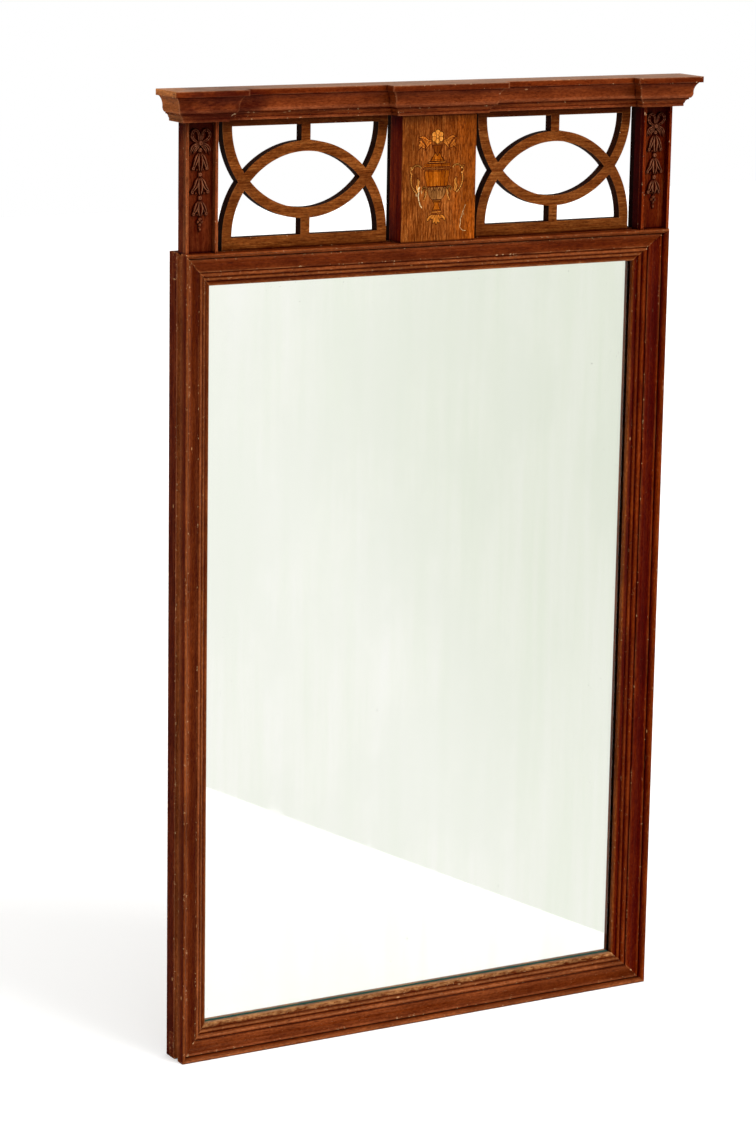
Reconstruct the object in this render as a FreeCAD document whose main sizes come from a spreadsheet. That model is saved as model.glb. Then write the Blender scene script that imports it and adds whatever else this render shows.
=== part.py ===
# Hall mirror: a mitred and moulded frame round one mirror plate, with a crest of two pilasters,
# two pierced frets and a veneered tablet under a break-front cornice.
# Millimetres. +X is to the viewer's right, +Y points into the wall and +Z is up.
# The origin is on the wall plane, in the middle of the back of the frame's top rail.

import FreeCAD, Part
import math
import os
from types import SimpleNamespace

import Sketcher
from FreeCAD import Placement, Rotation, Vector

SIZES = {
    # mirror plate, its silvering and what holds it
    "plate_width": 608.0,
    "plate_height": 914.0,
    "plate_thickness": 5.0,
    "plate_play": 2.0,
    "side_overlap": 8.0,
    "end_overlap": 6.0,
    "silver_thickness": 0.3,
    "wedge_thickness": 4.0,
    "wedge_width": 10.0,
    "wedge_length": 60.0,
    "board_thickness": 4.0,
    "board_play": 1.0,
    "pin_radius": 0.6,
    "pin_length": 14.0,
    # back frame
    "back_depth": 18.0,
    "back_arris": 2.0,
    # face moulding, measured outwards from the sight edge and forwards from its back
    "face_width": 40.0,
    "face_depth": 26.0,
    "lip_depth": 6.0,
    "lip_arris": 0.8,
    "lip_width": 5.2,
    "lip_rise": 1.0,
    "lip_hollow": 16.0,
    "bead_gap": 0.7,
    "small_bead_width": 4.4,
    "small_bead_rise": 2.4,
    "small_bead_radius": 3.3,
    "large_bead_width": 5.5,
    "large_bead_rise": 3.2,
    "large_bead_radius": 4.2,
    "field_step": 1.4,
    "field_width": 14.0,
    "field_rise": 5.2,
    "field_radius": 26.0,
    "shoulder_width": 2.0,
    "quirk_width": 1.0,
    "quirk_depth": 1.2,
    "ovolo_radius": 8.0,
    "border_flat": 2.0,
    "border_round": 1.2,
    "edge_flat": 14.0,
    "edge_hollow_width": 9.0,
    "edge_hollow_radius": 5.0,
    # screws through the back frame into the face moulding
    "screw_radius": 2.0,
    "screw_head_radius": 4.0,
    "screw_head_depth": 2.4,
    "screw_length": 30.0,
    "screw_point": 4.0,
    "screw_inset": 11.0,
    # crest
    "crest_height": 159.0,
    "tablet_width": 102.0,
    "tablet_depth": 28.0,
    "veneer_thickness": 0.9,
    "fret_gap": 11.75,
    "fret_thickness": 12.5,
    "fret_strip": 12.5,
    "fret_strut": 12.0,
    "fret_strut_length": 19.0,
    "fret_rail": 15.0,
    "pilaster_width": 41.5,
    "pilaster_setback": 2.5,
    "panel_thickness": 12.0,
    "edge_strip_width": 3.5,
    "edge_strip_depth": 8.0,
    "batten_thickness": 8.0,
    "batten_inset": 10.0,
    "batten_inner_inset": 3.0,
    "batten_rise": 20.0,
    "tongue_length": 26.0,
    "dowel_radius": 3.0,
    "dowel_length": 24.0,
    # carved drop on each pilaster
    "carving_depth": 3.8,
    "knot_drop": 25.0,
    "bow_knot_radius": 3.8,
    "inner_loop_out": 4.4,
    "inner_loop_radius": 5.8,
    "outer_loop_out": 9.6,
    "outer_loop_radius": 5.5,
    "ribbon_width": 2.4,
    "ribbon_depth": 2.6,
    "loop_rise": 7.6,
    "ribbon_end_length": 14.5,
    "first_bead_drop": 8.0,
    "drop_bead_radius": 2.7,
    "husk_pitch": 27.0,
    "husk_length": 22.0,
    "side_leaf_length": 19.5,
    "leaf_half_width": 3.4,
    "tip_radius": 2.0,
    "tail_bead_radius": 2.4,
    "tail_bead_pitch": 4.2,
    "tail_point_length": 9.0,
    "tail_point_half_width": 1.8,
    "drop_stem_width": 2.4,
    # cornice moulding, measured outwards from its back and upwards from its foot
    "cornice_height": 37.0,
    "cornice_drop": 7.0,
    "cornice_projection": 26.5,
    "centre_margin": 2.5,
    "foot_projection": 9.5,
    "foot_height": 3.2,
    "foot_step": 1.0,
    "cove_projection": 13.2,
    "cove_top": 8.4,
    "small_cove_radius": 5.0,
    "band_projection": 14.2,
    "band_top": 10.4,
    "swell_projection": 15.6,
    "turn_projection": 18.0,
    "turn_top": 16.5,
    "swell_radius": 8.0,
    "hollow_radius": 17.0,
    "hollow_projection": 22.4,
    "cap_height": 7.2,
    "cap_step": 0.8,
    # marquetry
    "inlay_span": 100.0,
    "inlay_aside": 2.8,
    "inlay_drop": 2.5,
    # hangers
    "strap_width": 12.0,
    "strap_length": 40.0,
    "strap_thickness": 1.1,
    "ring_wire_radius": 1.25,
    "ring_radius": 9.0,
    "ring_play": 0.3,
    "hanger_drop": 250.0,
    "strap_screw_radius": 1.6,
    "strap_screw_head": 3.2,
    "strap_screw_sink": 1.6,
    "strap_screw_length": 14.0,
    "strap_screw_pitch": 12.0,
    "strap_screw_end": 7.0,
    # past a face, for every cut
    "overrun": 2.0,
}


class Term:
    """A length that carries both its value and the spreadsheet formula behind it."""

    def __init__(self, text, value):
        self.text = text
        self.value = value

    def joined(self, sign, other, value):
        return Term(f"({self.text} {sign} {term(other).text})", value)

    def __add__(self, other):
        return self.joined("+", other, self.value + term(other).value)

    def __sub__(self, other):
        return self.joined("-", other, self.value - term(other).value)

    def __mul__(self, other):
        return self.joined("*", other, self.value * term(other).value)

    def __truediv__(self, other):
        return self.joined("/", other, self.value / term(other).value)

    def __radd__(self, other):
        return term(other) + self

    def __rsub__(self, other):
        return term(other) - self

    def __rmul__(self, other):
        return term(other) * self

    def __neg__(self):
        return Term(f"(0 - {self.text})", -self.value)


def term(length):
    """The length itself, or a plain number turned into one."""
    if isinstance(length, Term):
        return length
    return Term(repr(float(length)), float(length))


doc = FreeCAD.newDocument("hall_mirror")
sheet = doc.addObject("Spreadsheet::Sheet", "Sizes")
for row, (alias, number) in enumerate(SIZES.items(), start=1):
    sheet.set(f"A{row}", alias)
    sheet.set(f"B{row}", str(number))
    sheet.setAlias(f"B{row}", alias)
doc.recompute()
mm = SimpleNamespace(**{alias: Term(f"Sizes.{alias}", float(sheet.get(alias))) for alias in SIZES})

# Places that several pieces share, worked out from the sizes.
sight_half = mm.plate_width / 2 - mm.side_overlap
sight_height = mm.plate_height - 2 * mm.end_overlap
opening_half = mm.plate_width / 2 + mm.plate_play
frame_half = sight_half + mm.face_width
rail_width = mm.face_width - mm.end_overlap - mm.plate_play
frame_top = rail_width / 2
sight_top = frame_top - mm.face_width
sight_bottom = sight_top - sight_height
frame_bottom = sight_bottom - mm.face_width
opening_top = frame_top - rail_width
opening_bottom = frame_bottom + rail_width
plate_top = sight_top + mm.end_overlap
plate_bottom = sight_bottom - mm.end_overlap
face_back = -mm.back_depth
face_front = face_back - mm.face_depth
silver_front = face_back + mm.plate_thickness
silver_back = silver_front + mm.silver_thickness
board_front = silver_back + mm.wedge_thickness
board_back = board_front + mm.board_thickness
tablet_half = mm.tablet_width / 2
crest_back = face_front + mm.tablet_depth
crest_top = frame_top + mm.crest_height
pilaster_inner = frame_half - mm.pilaster_width
pilaster_front = face_front + mm.pilaster_setback
panel_front = pilaster_front + mm.edge_strip_depth
panel_back = panel_front + mm.panel_thickness
fret_front = crest_back - mm.fret_thickness
fret_middle = (tablet_half + pilaster_inner) / 2
batten_back = crest_back + mm.batten_thickness
cornice_foot = crest_top - mm.cornice_drop
centre_half = tablet_half + mm.centre_margin

nodes = []


def node(thing, name):
    """Give a finished piece its name and list it for writing out."""
    thing.Label = name
    nodes.append(thing)
    return thing


def bind(thing, **lengths):
    """Tie properties to formulas; a double underscore in a name stands for a dot."""
    for name, length in lengths.items():
        thing.setExpression(name.replace("__", "."), term(length).text)
    return thing


def place(thing, x=0, y=0, z=0):
    """Tie a piece's position."""
    return bind(thing, Placement__Base__x=x, Placement__Base__y=y, Placement__Base__z=z)


def block(name, x, y, z):
    """A box between two places on each axis."""
    box = doc.addObject("Part::Box", name)
    bind(box, Length=x[1] - x[0], Width=y[1] - y[0], Height=z[1] - z[0])
    return place(box, x[0], y[0], z[0])


def rod(name, radius, length, turn=None):
    """A cylinder along +Z, or turned to another direction."""
    cylinder = doc.addObject("Part::Cylinder", name)
    if turn is not None:
        cylinder.Placement = Placement(Vector(), turn)
    return bind(cylinder, Radius=radius, Height=length)


def cut(name, base, *tools):
    """The base less every tool in turn."""
    for index, tool in enumerate(tools):
        result = doc.addObject("Part::Cut", f"{name}_cut_{index}")
        result.Base = base
        result.Tool = tool
        base.Label = f"{base.Name}_blank"
        base = result
    return base


def joined(name, pieces):
    """Several solids made one."""
    fuse = doc.addObject("Part::MultiFuse", name)
    fuse.Shapes = pieces
    return fuse


def group(name, pieces):
    """Several solids that stay apart in one piece list."""
    compound = doc.addObject("Part::Compound", name)
    compound.Links = pieces
    return compound


def body(name):
    return doc.addObject("PartDesign::Body", name)


def sketch_on(owner, role, lift=None):
    """A sketch on one of the body's own planes, lifted along that plane's normal."""
    sketch = owner.newObject("Sketcher::SketchObject", f"{owner.Name}_sketch")
    plane = [item for item in owner.Origin.OriginFeatures if item.Role == role][0]
    sketch.AttachmentSupport = [(plane, "")]
    sketch.MapMode = "FlatFace"
    if lift is not None:
        bind(sketch, AttachmentOffset__Base__z=lift)
    return sketch


def arc_between(first, last, radius):
    """The short arc between two points; a positive radius bulges to the right of the way along."""
    chord = last - first
    half = chord.Length / 2
    reach = math.sqrt(max(radius * radius - half * half, 0))
    side = Vector(-chord.y, chord.x, 0).normalize()
    centre = (first + last) * 0.5 + side * math.copysign(reach, radius)
    start = math.atan2(first.y - centre.y, first.x - centre.x)
    end = math.atan2(last.y - centre.y, last.x - centre.x)
    circle = Part.Circle(centre, Vector(0, 0, 1), abs(radius))
    if radius > 0:
        return Part.ArcOfCircle(circle, start, end), 1, 2
    return Part.ArcOfCircle(circle, end, start), 2, 1


def trace(sketch, corners):
    """Close an outline through its corners. A third entry is the radius of the arc to there."""
    spots = [Vector(term(corner[0]).value, term(corner[1]).value, 0) for corner in corners]
    ends = []
    for index, corner in enumerate(corners):
        first = spots[index - 1]
        last = spots[index]
        if len(corner) == 3:
            curve, start, end = arc_between(first, last, corner[2].value)
            edge = sketch.addGeometry(curve)
            size = corner[2] if corner[2].value > 0 else -corner[2]
            ring = sketch.addConstraint(Sketcher.Constraint("Radius", edge, size.value))
            sketch.setExpression(f"Constraints[{ring}]", size.text)
        else:
            edge = sketch.addGeometry(Part.LineSegment(first, last))
            start, end = 1, 2
        ends.append((edge, start, end))
    for index, corner in enumerate(corners):
        edge, start, end = ends[index]
        after, after_start, after_end = ends[(index + 1) % len(ends)]
        sketch.addConstraint(Sketcher.Constraint("Coincident", edge, end, after, after_start))
        for kind, length in (("DistanceX", term(corner[0])), ("DistanceY", term(corner[1]))):
            rule = Sketcher.Constraint(kind, -1, 1, edge, end, length.value)
            number = sketch.addConstraint(rule)
            sketch.setExpression(f"Constraints[{number}]", length.text)
    return sketch


def ring_in(sketch, radius):
    """A circle about the sketch's own origin."""
    edge = sketch.addGeometry(Part.Circle(Vector(), Vector(0, 0, 1), radius.value))
    sketch.addConstraint(Sketcher.Constraint("Coincident", edge, 3, -1, 1))
    number = sketch.addConstraint(Sketcher.Constraint("Radius", edge, radius.value))
    sketch.setExpression(f"Constraints[{number}]", radius.text)
    return sketch


def pad(owner, sketch, length, symmetric=False, backwards=False):
    """Raise a sketch along its normal."""
    feature = owner.newObject("PartDesign::Pad", f"{owner.Name}_pad")
    feature.Profile = sketch
    feature.SideType = "Symmetric" if symmetric else "One side"
    feature.Reversed = backwards
    return bind(feature, Length=length)


def pocket(owner, sketch, length, symmetric=False, backwards=False):
    """Cut a sketch away against its normal."""
    feature = owner.newObject("PartDesign::Pocket", f"{owner.Name}_pocket")
    feature.Profile = sketch
    feature.SideType = "Symmetric" if symmetric else "One side"
    feature.Reversed = backwards
    return bind(feature, Length=length)


def turned(name, outline):
    """A solid turned about Z from an outline of (radius, height) corners."""
    owner = body(name)
    sketch = trace(sketch_on(owner, "XZ_Plane"), outline)
    feature = owner.newObject("PartDesign::Revolution", f"{name}_turn")
    feature.Profile = sketch
    feature.ReferenceAxis = (sketch, ["V_Axis"])
    return owner


# Screws through the back frame. Each points forwards from the wall plane, and every piece that
# one passes through is cut by it, so that holes and screws always agree.

def wood_screw(name, radius, head_radius, head_depth, length, point, x, y, z):
    """A countersunk screw whose head is flush at y and whose point is towards the front."""
    screw = turned(name, [(0, 0), (head_radius, 0), (radius, -head_depth),
                          (radius, -(length - point)), (0, -length)])
    screw.Placement = Placement(Vector(), Rotation(Vector(1, 0, 0), -90))
    return place(screw, x, y, z)


def frame_screw(index, x, z):
    return wood_screw(f"frame_screw_{index}", mm.screw_radius, mm.screw_head_radius,
                      mm.screw_head_depth, mm.screw_length, mm.screw_point, x, 0, z)


def frame_screw_places():
    """Four at the lapped corners, three along each stile and two along each rail."""
    side = frame_half - mm.screw_inset
    high = frame_top - mm.screw_inset
    low = frame_bottom + mm.screw_inset
    height = high - low
    places = [(hand * side, low + height * quarter / 4)
              for hand in (-1, 1) for quarter in range(5)]
    places += [(hand * side / 2, level) for hand in (-1, 1) for level in (low, high)]
    return places


back_frame_screws = node(group("back_frame_screws", [
    frame_screw(index, x, z) for index, (x, z) in enumerate(frame_screw_places())
]), "back_frame_screws")


# Crest battens. Each is one board behind the crest whose lower end thickens into a tongue that
# is let into the front of the frame's top rail and lies against the face moulding.

def batten(name, left, right):
    owner = body(name)
    side = trace(sketch_on(owner, "YZ_Plane"), [
        (crest_back, frame_top),
        (crest_back, crest_top + mm.batten_rise),
        (batten_back, crest_top + mm.batten_rise),
        (batten_back, frame_top - mm.tongue_length),
        (face_back, frame_top - mm.tongue_length),
        (face_back, frame_top),
    ])
    pad(owner, side, right - left)
    place(owner, x=left)
    return node(cut(name, owner, back_frame_screws), name)


batten_outer = frame_half - mm.batten_inset
batten_inner = pilaster_inner + mm.batten_inner_inset
batten_left = batten("batten_left", -batten_outer, -batten_inner)
batten_centre = batten("batten_centre", -tablet_half, tablet_half)
batten_right = batten("batten_right", batten_inner, batten_outer)


# Dowels between the frame's top edge, the crest pieces and the cornice core.

def crest_dowel_places():
    """Where each dowel stands, as (x, y): one to a pilaster, two to the tablet and each fret."""
    reach = fret_middle - tablet_half - mm.fret_gap - mm.fret_strip * 2
    board_middle = (panel_front + panel_back) / 2
    block_middle = (face_front + crest_back) / 2
    fret_depth_middle = (fret_front + crest_back) / 2
    places = []
    for hand in (-1, 1):
        places.append((hand * (frame_half + pilaster_inner) / 2, board_middle))
        places.append((hand * tablet_half / 2, block_middle))
        places.append((hand * (fret_middle - reach), fret_depth_middle))
        places.append((hand * (fret_middle + reach), fret_depth_middle))
    return places


dowels = []
for level_name, level in (("low", frame_top), ("high", crest_top)):
    for index, (x, y) in enumerate(crest_dowel_places()):
        dowel = rod(f"dowel_{level_name}_{index}", mm.dowel_radius, mm.dowel_length)
        dowels.append(place(dowel, x, y, level - mm.dowel_length / 2))
crest_dowels = node(group("crest_dowels", dowels), "crest_dowels")


# Pins that hold the backing board. They are driven sideways into the frame behind the board.

def backing_pin_places():
    """Where each pin's point is, as (x, z, turn): five down each side, three along each end."""
    grip = mm.pin_length / 2
    places = []
    for share in (0.08, 0.29, 0.5, 0.71, 0.92):
        level = opening_bottom + (opening_top - opening_bottom) * share
        places.append((-opening_half - grip, level, Rotation(Vector(0, 1, 0), 90)))
        places.append((opening_half - grip, level, Rotation(Vector(0, 1, 0), 90)))
    for share in (-0.62, 0.0, 0.62):
        across = opening_half * share
        places.append((across, opening_bottom - grip, Rotation()))
        places.append((across, opening_top - grip, Rotation()))
    return places


pins = []
for index, (x, z, turn) in enumerate(backing_pin_places()):
    pin = rod(f"pin_{index}", mm.pin_radius, mm.pin_length, turn)
    pins.append(place(pin, x, board_back + mm.pin_radius, z))
backing_pins = node(group("backing_pins", pins), "backing_pins")


# Strap hangers. The strap is rolled into an eye round the straight bar of a D-shaped ring, and
# the ring hangs down behind it.

eye_radius = mm.ring_wire_radius + mm.ring_play + mm.strap_thickness
hanger_x = (frame_half + opening_half) / 2
hanger_z = frame_top - mm.hanger_drop


def strap_screw(hand, index):
    sunk = mm.strap_thickness
    level = hanger_z - mm.strap_length + mm.strap_screw_end + mm.strap_screw_pitch * index
    return wood_screw(f"strap_screw_{hand}_{index}", mm.strap_screw_radius, mm.strap_screw_head,
                      mm.strap_screw_sink, mm.strap_screw_length, mm.strap_screw_head,
                      hanger_x * hand, sunk, level)


strap_screws = {hand: [strap_screw(hand, index) for index in range(2)] for hand in (-1, 1)}
hanger_screws = node(group("hanger_screws", strap_screws[-1] + strap_screws[1]), "hanger_screws")


def hanger_strap(name, hand):
    owner = body(name)
    plate = trace(sketch_on(owner, "YZ_Plane"), [
        (0, -mm.strap_length), (mm.strap_thickness, -mm.strap_length),
        (mm.strap_thickness, 0), (0, 0),
    ])
    pad(owner, plate, mm.strap_width, symmetric=True)
    eye = sketch_on(owner, "YZ_Plane")
    bind(eye, AttachmentOffset__Base__x=eye_radius)
    ring_in(eye, eye_radius)
    pad(owner, eye, mm.strap_width, symmetric=True)
    bore = sketch_on(owner, "YZ_Plane")
    bind(bore, AttachmentOffset__Base__x=eye_radius)
    ring_in(bore, mm.ring_wire_radius + mm.ring_play)
    pocket(owner, bore, mm.strap_width + mm.overrun, symmetric=True)
    place(owner, hanger_x * hand, 0, hanger_z)
    return node(cut(name, owner, *strap_screws[hand]), name)


def hanger_ring(name, hand):
    """A straight bar and a half ring of the same wire, rounded where they meet."""
    bar = rod(f"{name}_bar", mm.ring_wire_radius, 2 * mm.ring_radius, Rotation(Vector(0, 1, 0), 90))
    place(bar, hanger_x * hand - mm.ring_radius, eye_radius, hanger_z)
    bow = doc.addObject("Part::Torus", f"{name}_bow")
    bow.Angle3 = 180
    bow.Placement = Placement(Vector(), Rotation(Vector(1, 0, 0), -90))
    bind(bow, Radius1=mm.ring_radius, Radius2=mm.ring_wire_radius)
    place(bow, hanger_x * hand, eye_radius, hanger_z)
    pieces = [bar, bow]
    for end in (-1, 1):
        corner = doc.addObject("Part::Sphere", f"{name}_corner")
        bind(corner, Radius=mm.ring_wire_radius)
        pieces.append(place(corner, hanger_x * hand + mm.ring_radius * end, eye_radius, hanger_z))
    return node(joined(name, pieces), name)


for side_name, hand in (("left", -1), ("right", 1)):
    hanger_strap(f"hanger_strap_{side_name}", hand)
    hanger_ring(f"hanger_ring_{side_name}", hand)


# Back frame: two stiles and two rails, halved together at the corners. At each corner the rail
# keeps its front half and the stile its back half.

lap = mm.back_depth / 2


def stile(name, inner, hand):
    """One stile: hand is -1 for the left one and 1 for the right."""
    owner = body(name)
    outer = frame_half * hand
    left, right = (outer, inner) if hand < 0 else (inner, outer)
    soft = mm.back_arris
    plan = [(right, 0), (left, 0), (left, face_back), (right, face_back)]
    if hand < 0:
        plan[2:3] = [(left, face_back + soft), (left + soft, face_back, soft)]
    else:
        plan[3:] = [(right - soft, face_back), (right, face_back + soft, soft)]
    trace_plan = trace(sketch_on(owner, "XY_Plane"), plan)
    pad(owner, trace_plan, frame_top - frame_bottom)
    place(owner, z=frame_bottom)
    halving = trace(sketch_on(owner, "XY_Plane"), [
        (left - mm.overrun, -lap), (left - mm.overrun, face_back - mm.overrun),
        (right + mm.overrun, face_back - mm.overrun), (right + mm.overrun, -lap)])
    pocket(owner, halving, rail_width, backwards=True)
    upper = trace(sketch_on(owner, "XY_Plane", frame_top - frame_bottom), [
        (left - mm.overrun, -lap), (left - mm.overrun, face_back - mm.overrun),
        (right + mm.overrun, face_back - mm.overrun), (right + mm.overrun, -lap)])
    pocket(owner, upper, rail_width)
    tools = [back_frame_screws, backing_pins, *strap_screws[hand]]
    return node(cut(name, owner, *tools, batten_left if hand < 0 else batten_right), name)


def rail(name, bottom, top, battens):
    owner = body(name)
    front = trace(sketch_on(owner, "XZ_Plane"), [
        (-frame_half, bottom), (frame_half, bottom), (frame_half, top), (-frame_half, top)])
    pad(owner, front, mm.back_depth)
    for hand in (-1, 1):
        halving = trace(sketch_on(owner, "XZ_Plane"), [
            (hand * opening_half, bottom - mm.overrun),
            (hand * (frame_half + mm.overrun), bottom - mm.overrun),
            (hand * (frame_half + mm.overrun), top + mm.overrun),
            (hand * opening_half, top + mm.overrun)])
        pocket(owner, halving, lap, backwards=True)
    return node(cut(name, owner, back_frame_screws, backing_pins, *battens), name)


back_frame_left = stile("back_frame_left", -opening_half, -1)
back_frame_right = stile("back_frame_right", opening_half, 1)
rail("back_frame_top", opening_top, frame_top, [batten_left, batten_centre, batten_right])
rail("back_frame_bottom", frame_bottom, opening_bottom, [])


# Face moulding: four mitred lengths of one profile, laid over the back frame. Its lip covers the
# edge of the plate. The profile is drawn with the sight edge at zero and the back face at zero.

def face_profile():
    """The section, as (forwards, outwards) corners with the front towards -Y."""
    front = mm.face_depth
    edge_top = front - mm.edge_flat
    small_in = mm.lip_width + mm.bead_gap
    small_out = small_in + mm.small_bead_width
    large_in = small_out + mm.bead_gap
    large_out = large_in + mm.large_bead_width
    field_in = large_out + mm.bead_gap
    field_out = field_in + mm.field_width
    shoulder_out = field_out + mm.shoulder_width
    small_foot = mm.lip_depth + mm.lip_rise
    large_foot = small_foot + mm.small_bead_rise
    large_top = large_foot + mm.large_bead_rise
    field_foot = large_top + mm.field_step
    shoulder = field_foot + mm.field_rise
    section = [
        (0, 0),
        (mm.face_width, 0),
        (mm.face_width, edge_top - mm.edge_hollow_width),
        (mm.face_width, edge_top, -mm.edge_hollow_radius),
        (mm.face_width, front - mm.border_round),
        (mm.face_width - mm.border_round, front, mm.border_round),
        (mm.face_width - mm.border_flat, front),
        (shoulder_out + mm.quirk_width, shoulder - mm.quirk_depth, mm.ovolo_radius),
        (shoulder_out, shoulder - mm.quirk_depth),
        (shoulder_out, shoulder),
        (field_out, shoulder),
        (field_in, field_foot, -mm.field_radius),
        (field_in, large_top),
        (large_out, large_top),
        (large_in, large_foot, mm.large_bead_radius),
        (small_out, large_foot),
        (small_in, small_foot, mm.small_bead_radius),
        (mm.lip_width, small_foot),
        (mm.lip_arris, mm.lip_depth, -mm.lip_hollow),
        (0, mm.lip_depth - mm.lip_arris),
    ]
    return [(-term(corner[1]), corner[0], *corner[2:]) for corner in section]


def face_length(name, sight_length, turn, x, z, tools):
    """One mitred length, modelled with its sight edge along X and then turned into place."""
    owner = body(name)
    half = sight_length / 2
    reach = half + mm.face_width + mm.overrun
    outline = trace(sketch_on(owner, "YZ_Plane"), face_profile())
    pad(owner, outline, reach * 2, symmetric=True)
    mitres = sketch_on(owner, "XZ_Plane")
    for hand in (-1, 1):
        trace(mitres, [
            (hand * (half - mm.overrun), -mm.overrun),
            (hand * (half + mm.face_width + mm.overrun), mm.face_width + mm.overrun),
            (hand * (reach + mm.overrun), mm.face_width + mm.overrun),
            (hand * (reach + mm.overrun), -mm.overrun),
        ])
    pocket(owner, mitres, 2 * (mm.face_depth + mm.overrun), symmetric=True)
    owner.Placement = Placement(Vector(), Rotation(Vector(0, 1, 0), turn))
    place(owner, x, face_back, z)
    return node(cut(name, owner, *tools), name)


sight_middle = (sight_top + sight_bottom) / 2
face_length("face_moulding_top", 2 * sight_half, 0, 0, sight_top,
            [back_frame_screws, crest_dowels])
face_length("face_moulding_right", sight_height, 90, sight_half, sight_middle,
            [back_frame_screws])
face_length("face_moulding_bottom", 2 * sight_half, 180, 0, sight_bottom, [back_frame_screws])
face_length("face_moulding_left", sight_height, -90, -sight_half, sight_middle,
            [back_frame_screws])


# Mirror plate with its silvering, the blocks rubbed in behind its edge, and the backing board.

plate_half = mm.plate_width / 2
plate_span = ((-plate_half, plate_half), (plate_bottom, plate_top))
node(block("glass_plate", plate_span[0], (face_back, silver_front), plate_span[1]), "glass_plate")
node(block("silvering", plate_span[0], (silver_front, silver_back), plate_span[1]), "silvering")
board_half = opening_half - mm.board_play
node(block("backing_board", (-board_half, board_half), (board_front, board_back),
           (opening_bottom + mm.board_play, opening_top - mm.board_play)), "backing_board")


def wedge_places():
    """Blocks against each stile and rail, as (x span, z span)."""
    along = mm.wedge_length / 2
    spans = []
    for share in (0.12, 0.38, 0.62, 0.88):
        level = opening_bottom + (opening_top - opening_bottom) * share
        rise = (level - along, level + along)
        spans.append(((-opening_half, mm.wedge_width - opening_half), rise))
        spans.append(((opening_half - mm.wedge_width, opening_half), rise))
    for share in (-0.5, 0.5):
        across = opening_half * share
        run = (across - along, across + along)
        spans.append((run, (opening_bottom, opening_bottom + mm.wedge_width)))
        spans.append((run, (opening_top - mm.wedge_width, opening_top)))
    return spans


node(group("glass_blocks", [
    block(f"glass_block_{index}", across, (silver_back, board_front), level)
    for index, (across, level) in enumerate(wedge_places())
]), "glass_blocks")


# Frets: two interlaced half rings of one strip width, one standing on the lower rail and one
# hanging from the upper, sawn from a single board with two rails and two struts.

fret_half = (pilaster_inner - tablet_half) / 2 - mm.fret_gap
fret_high = mm.crest_height - mm.fret_rail
ring_rise = fret_high - mm.fret_rail - mm.fret_strut_length


def ring_radius(half_width, rise):
    """The radius of an arc from its ends to its crown."""
    return (half_width * half_width + rise * rise) / (2 * rise)


def half_ring(level, up):
    """A half ring whose ends stand at one level and which rises or hangs from there."""
    side = 1 if up else -1
    inner_half = fret_half - mm.fret_strip
    inner_rise = ring_rise - mm.fret_strip
    outer = ring_radius(fret_half, ring_rise)
    inner = ring_radius(inner_half, inner_rise)
    return [(side * fret_half, level), (0, level + side * ring_rise, outer),
            (-side * fret_half, level, outer),
            (-side * inner_half, level), (0, level + side * inner_rise, -inner),
            (side * inner_half, level, -inner)]


def upright_box(half, bottom, top):
    return [(-half, bottom), (half, bottom), (half, top), (-half, top)]


def fret(name, x):
    owner = body(name)
    strut = mm.fret_strut / 2
    let_in = mm.fret_strip / 2
    for outline in (
        upright_box(fret_half, 0, mm.fret_rail),
        upright_box(fret_half, fret_high, mm.crest_height),
        half_ring(mm.fret_rail, up=True),
        half_ring(fret_high, up=False),
        upright_box(strut, mm.fret_rail, mm.fret_rail + mm.fret_strut_length + let_in),
        upright_box(strut, fret_high - mm.fret_strut_length - let_in, fret_high),
    ):
        pad(owner, trace(sketch_on(owner, "XZ_Plane"), outline), mm.fret_thickness)
    place(owner, x, crest_back, frame_top)
    return node(cut(name, owner, crest_dowels), name)


fret("fret_left", -fret_middle)
fret("fret_right", fret_middle)


# Pilasters: a sunk panel with a raised strip along each edge, packed off its batten by a ground.

def pilaster(side_name, hand):
    spans = sorted([hand * pilaster_inner, hand * frame_half], key=lambda item: item.value)
    height = (frame_top, crest_top)
    board = block(f"pilaster_{side_name}_board_blank", spans, (panel_front, panel_back), height)
    node(cut(f"pilaster_{side_name}", board, crest_dowels), f"pilaster_{side_name}_board")
    outer_strip = (spans[0], spans[0] + mm.edge_strip_width)
    inner_strip = (spans[1] - mm.edge_strip_width, spans[1])
    node(group(f"strips_{side_name}", [
        block(f"strip_{side_name}_{index}", span, (pilaster_front, panel_front), height)
        for index, span in enumerate((outer_strip, inner_strip))
    ]), f"pilaster_{side_name}_strips")
    behind = sorted([hand * batten_inner, hand * batten_outer], key=lambda item: item.value)
    node(block(f"ground_{side_name}", behind, (panel_back, crest_back), height),
         f"ground_{side_name}")


pilaster("left", -1)
pilaster("right", 1)


# Carved drops. Each is worked in one piece: a ribbon bow over three husks and a tail of beads.
# Leaves and beads rise from the panel's face with sloping sides.

# A leaf's rise as a share of its half width. Then, in degrees, how far its sides slope
# inwards, and how far a husk's outer leaves and the ribbon's ends lean from hanging straight.
LEAF_RISE_SHARE = 1.1
SIDE_SLOPE = 28
LEAF_LEAN = 24
RIBBON_LEAN = 62


def leaf(name, length, half_width, x, z, lean=0):
    """A pointed leaf that hangs from a spot."""
    owner = body(name)
    bulge = ring_radius(length / 2, half_width)
    outline = trace(sketch_on(owner, "XZ_Plane"), [(0, -length, bulge), (0, 0, bulge)])
    pad(owner, outline, half_width * LEAF_RISE_SHARE).TaperAngle = -SIDE_SLOPE
    owner.Placement = Placement(Vector(), Rotation(Vector(0, 1, 0), lean))
    return place(owner, x, panel_front, z)


def bead(name, radius, x, z):
    button = doc.addObject("Part::Cone", name)
    button.Placement = Placement(Vector(), Rotation(Vector(1, 0, 0), 90))
    bind(button, Radius1=radius, Radius2=radius / 2, Height=mm.carving_depth)
    return place(button, x, panel_front, z)


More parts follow.
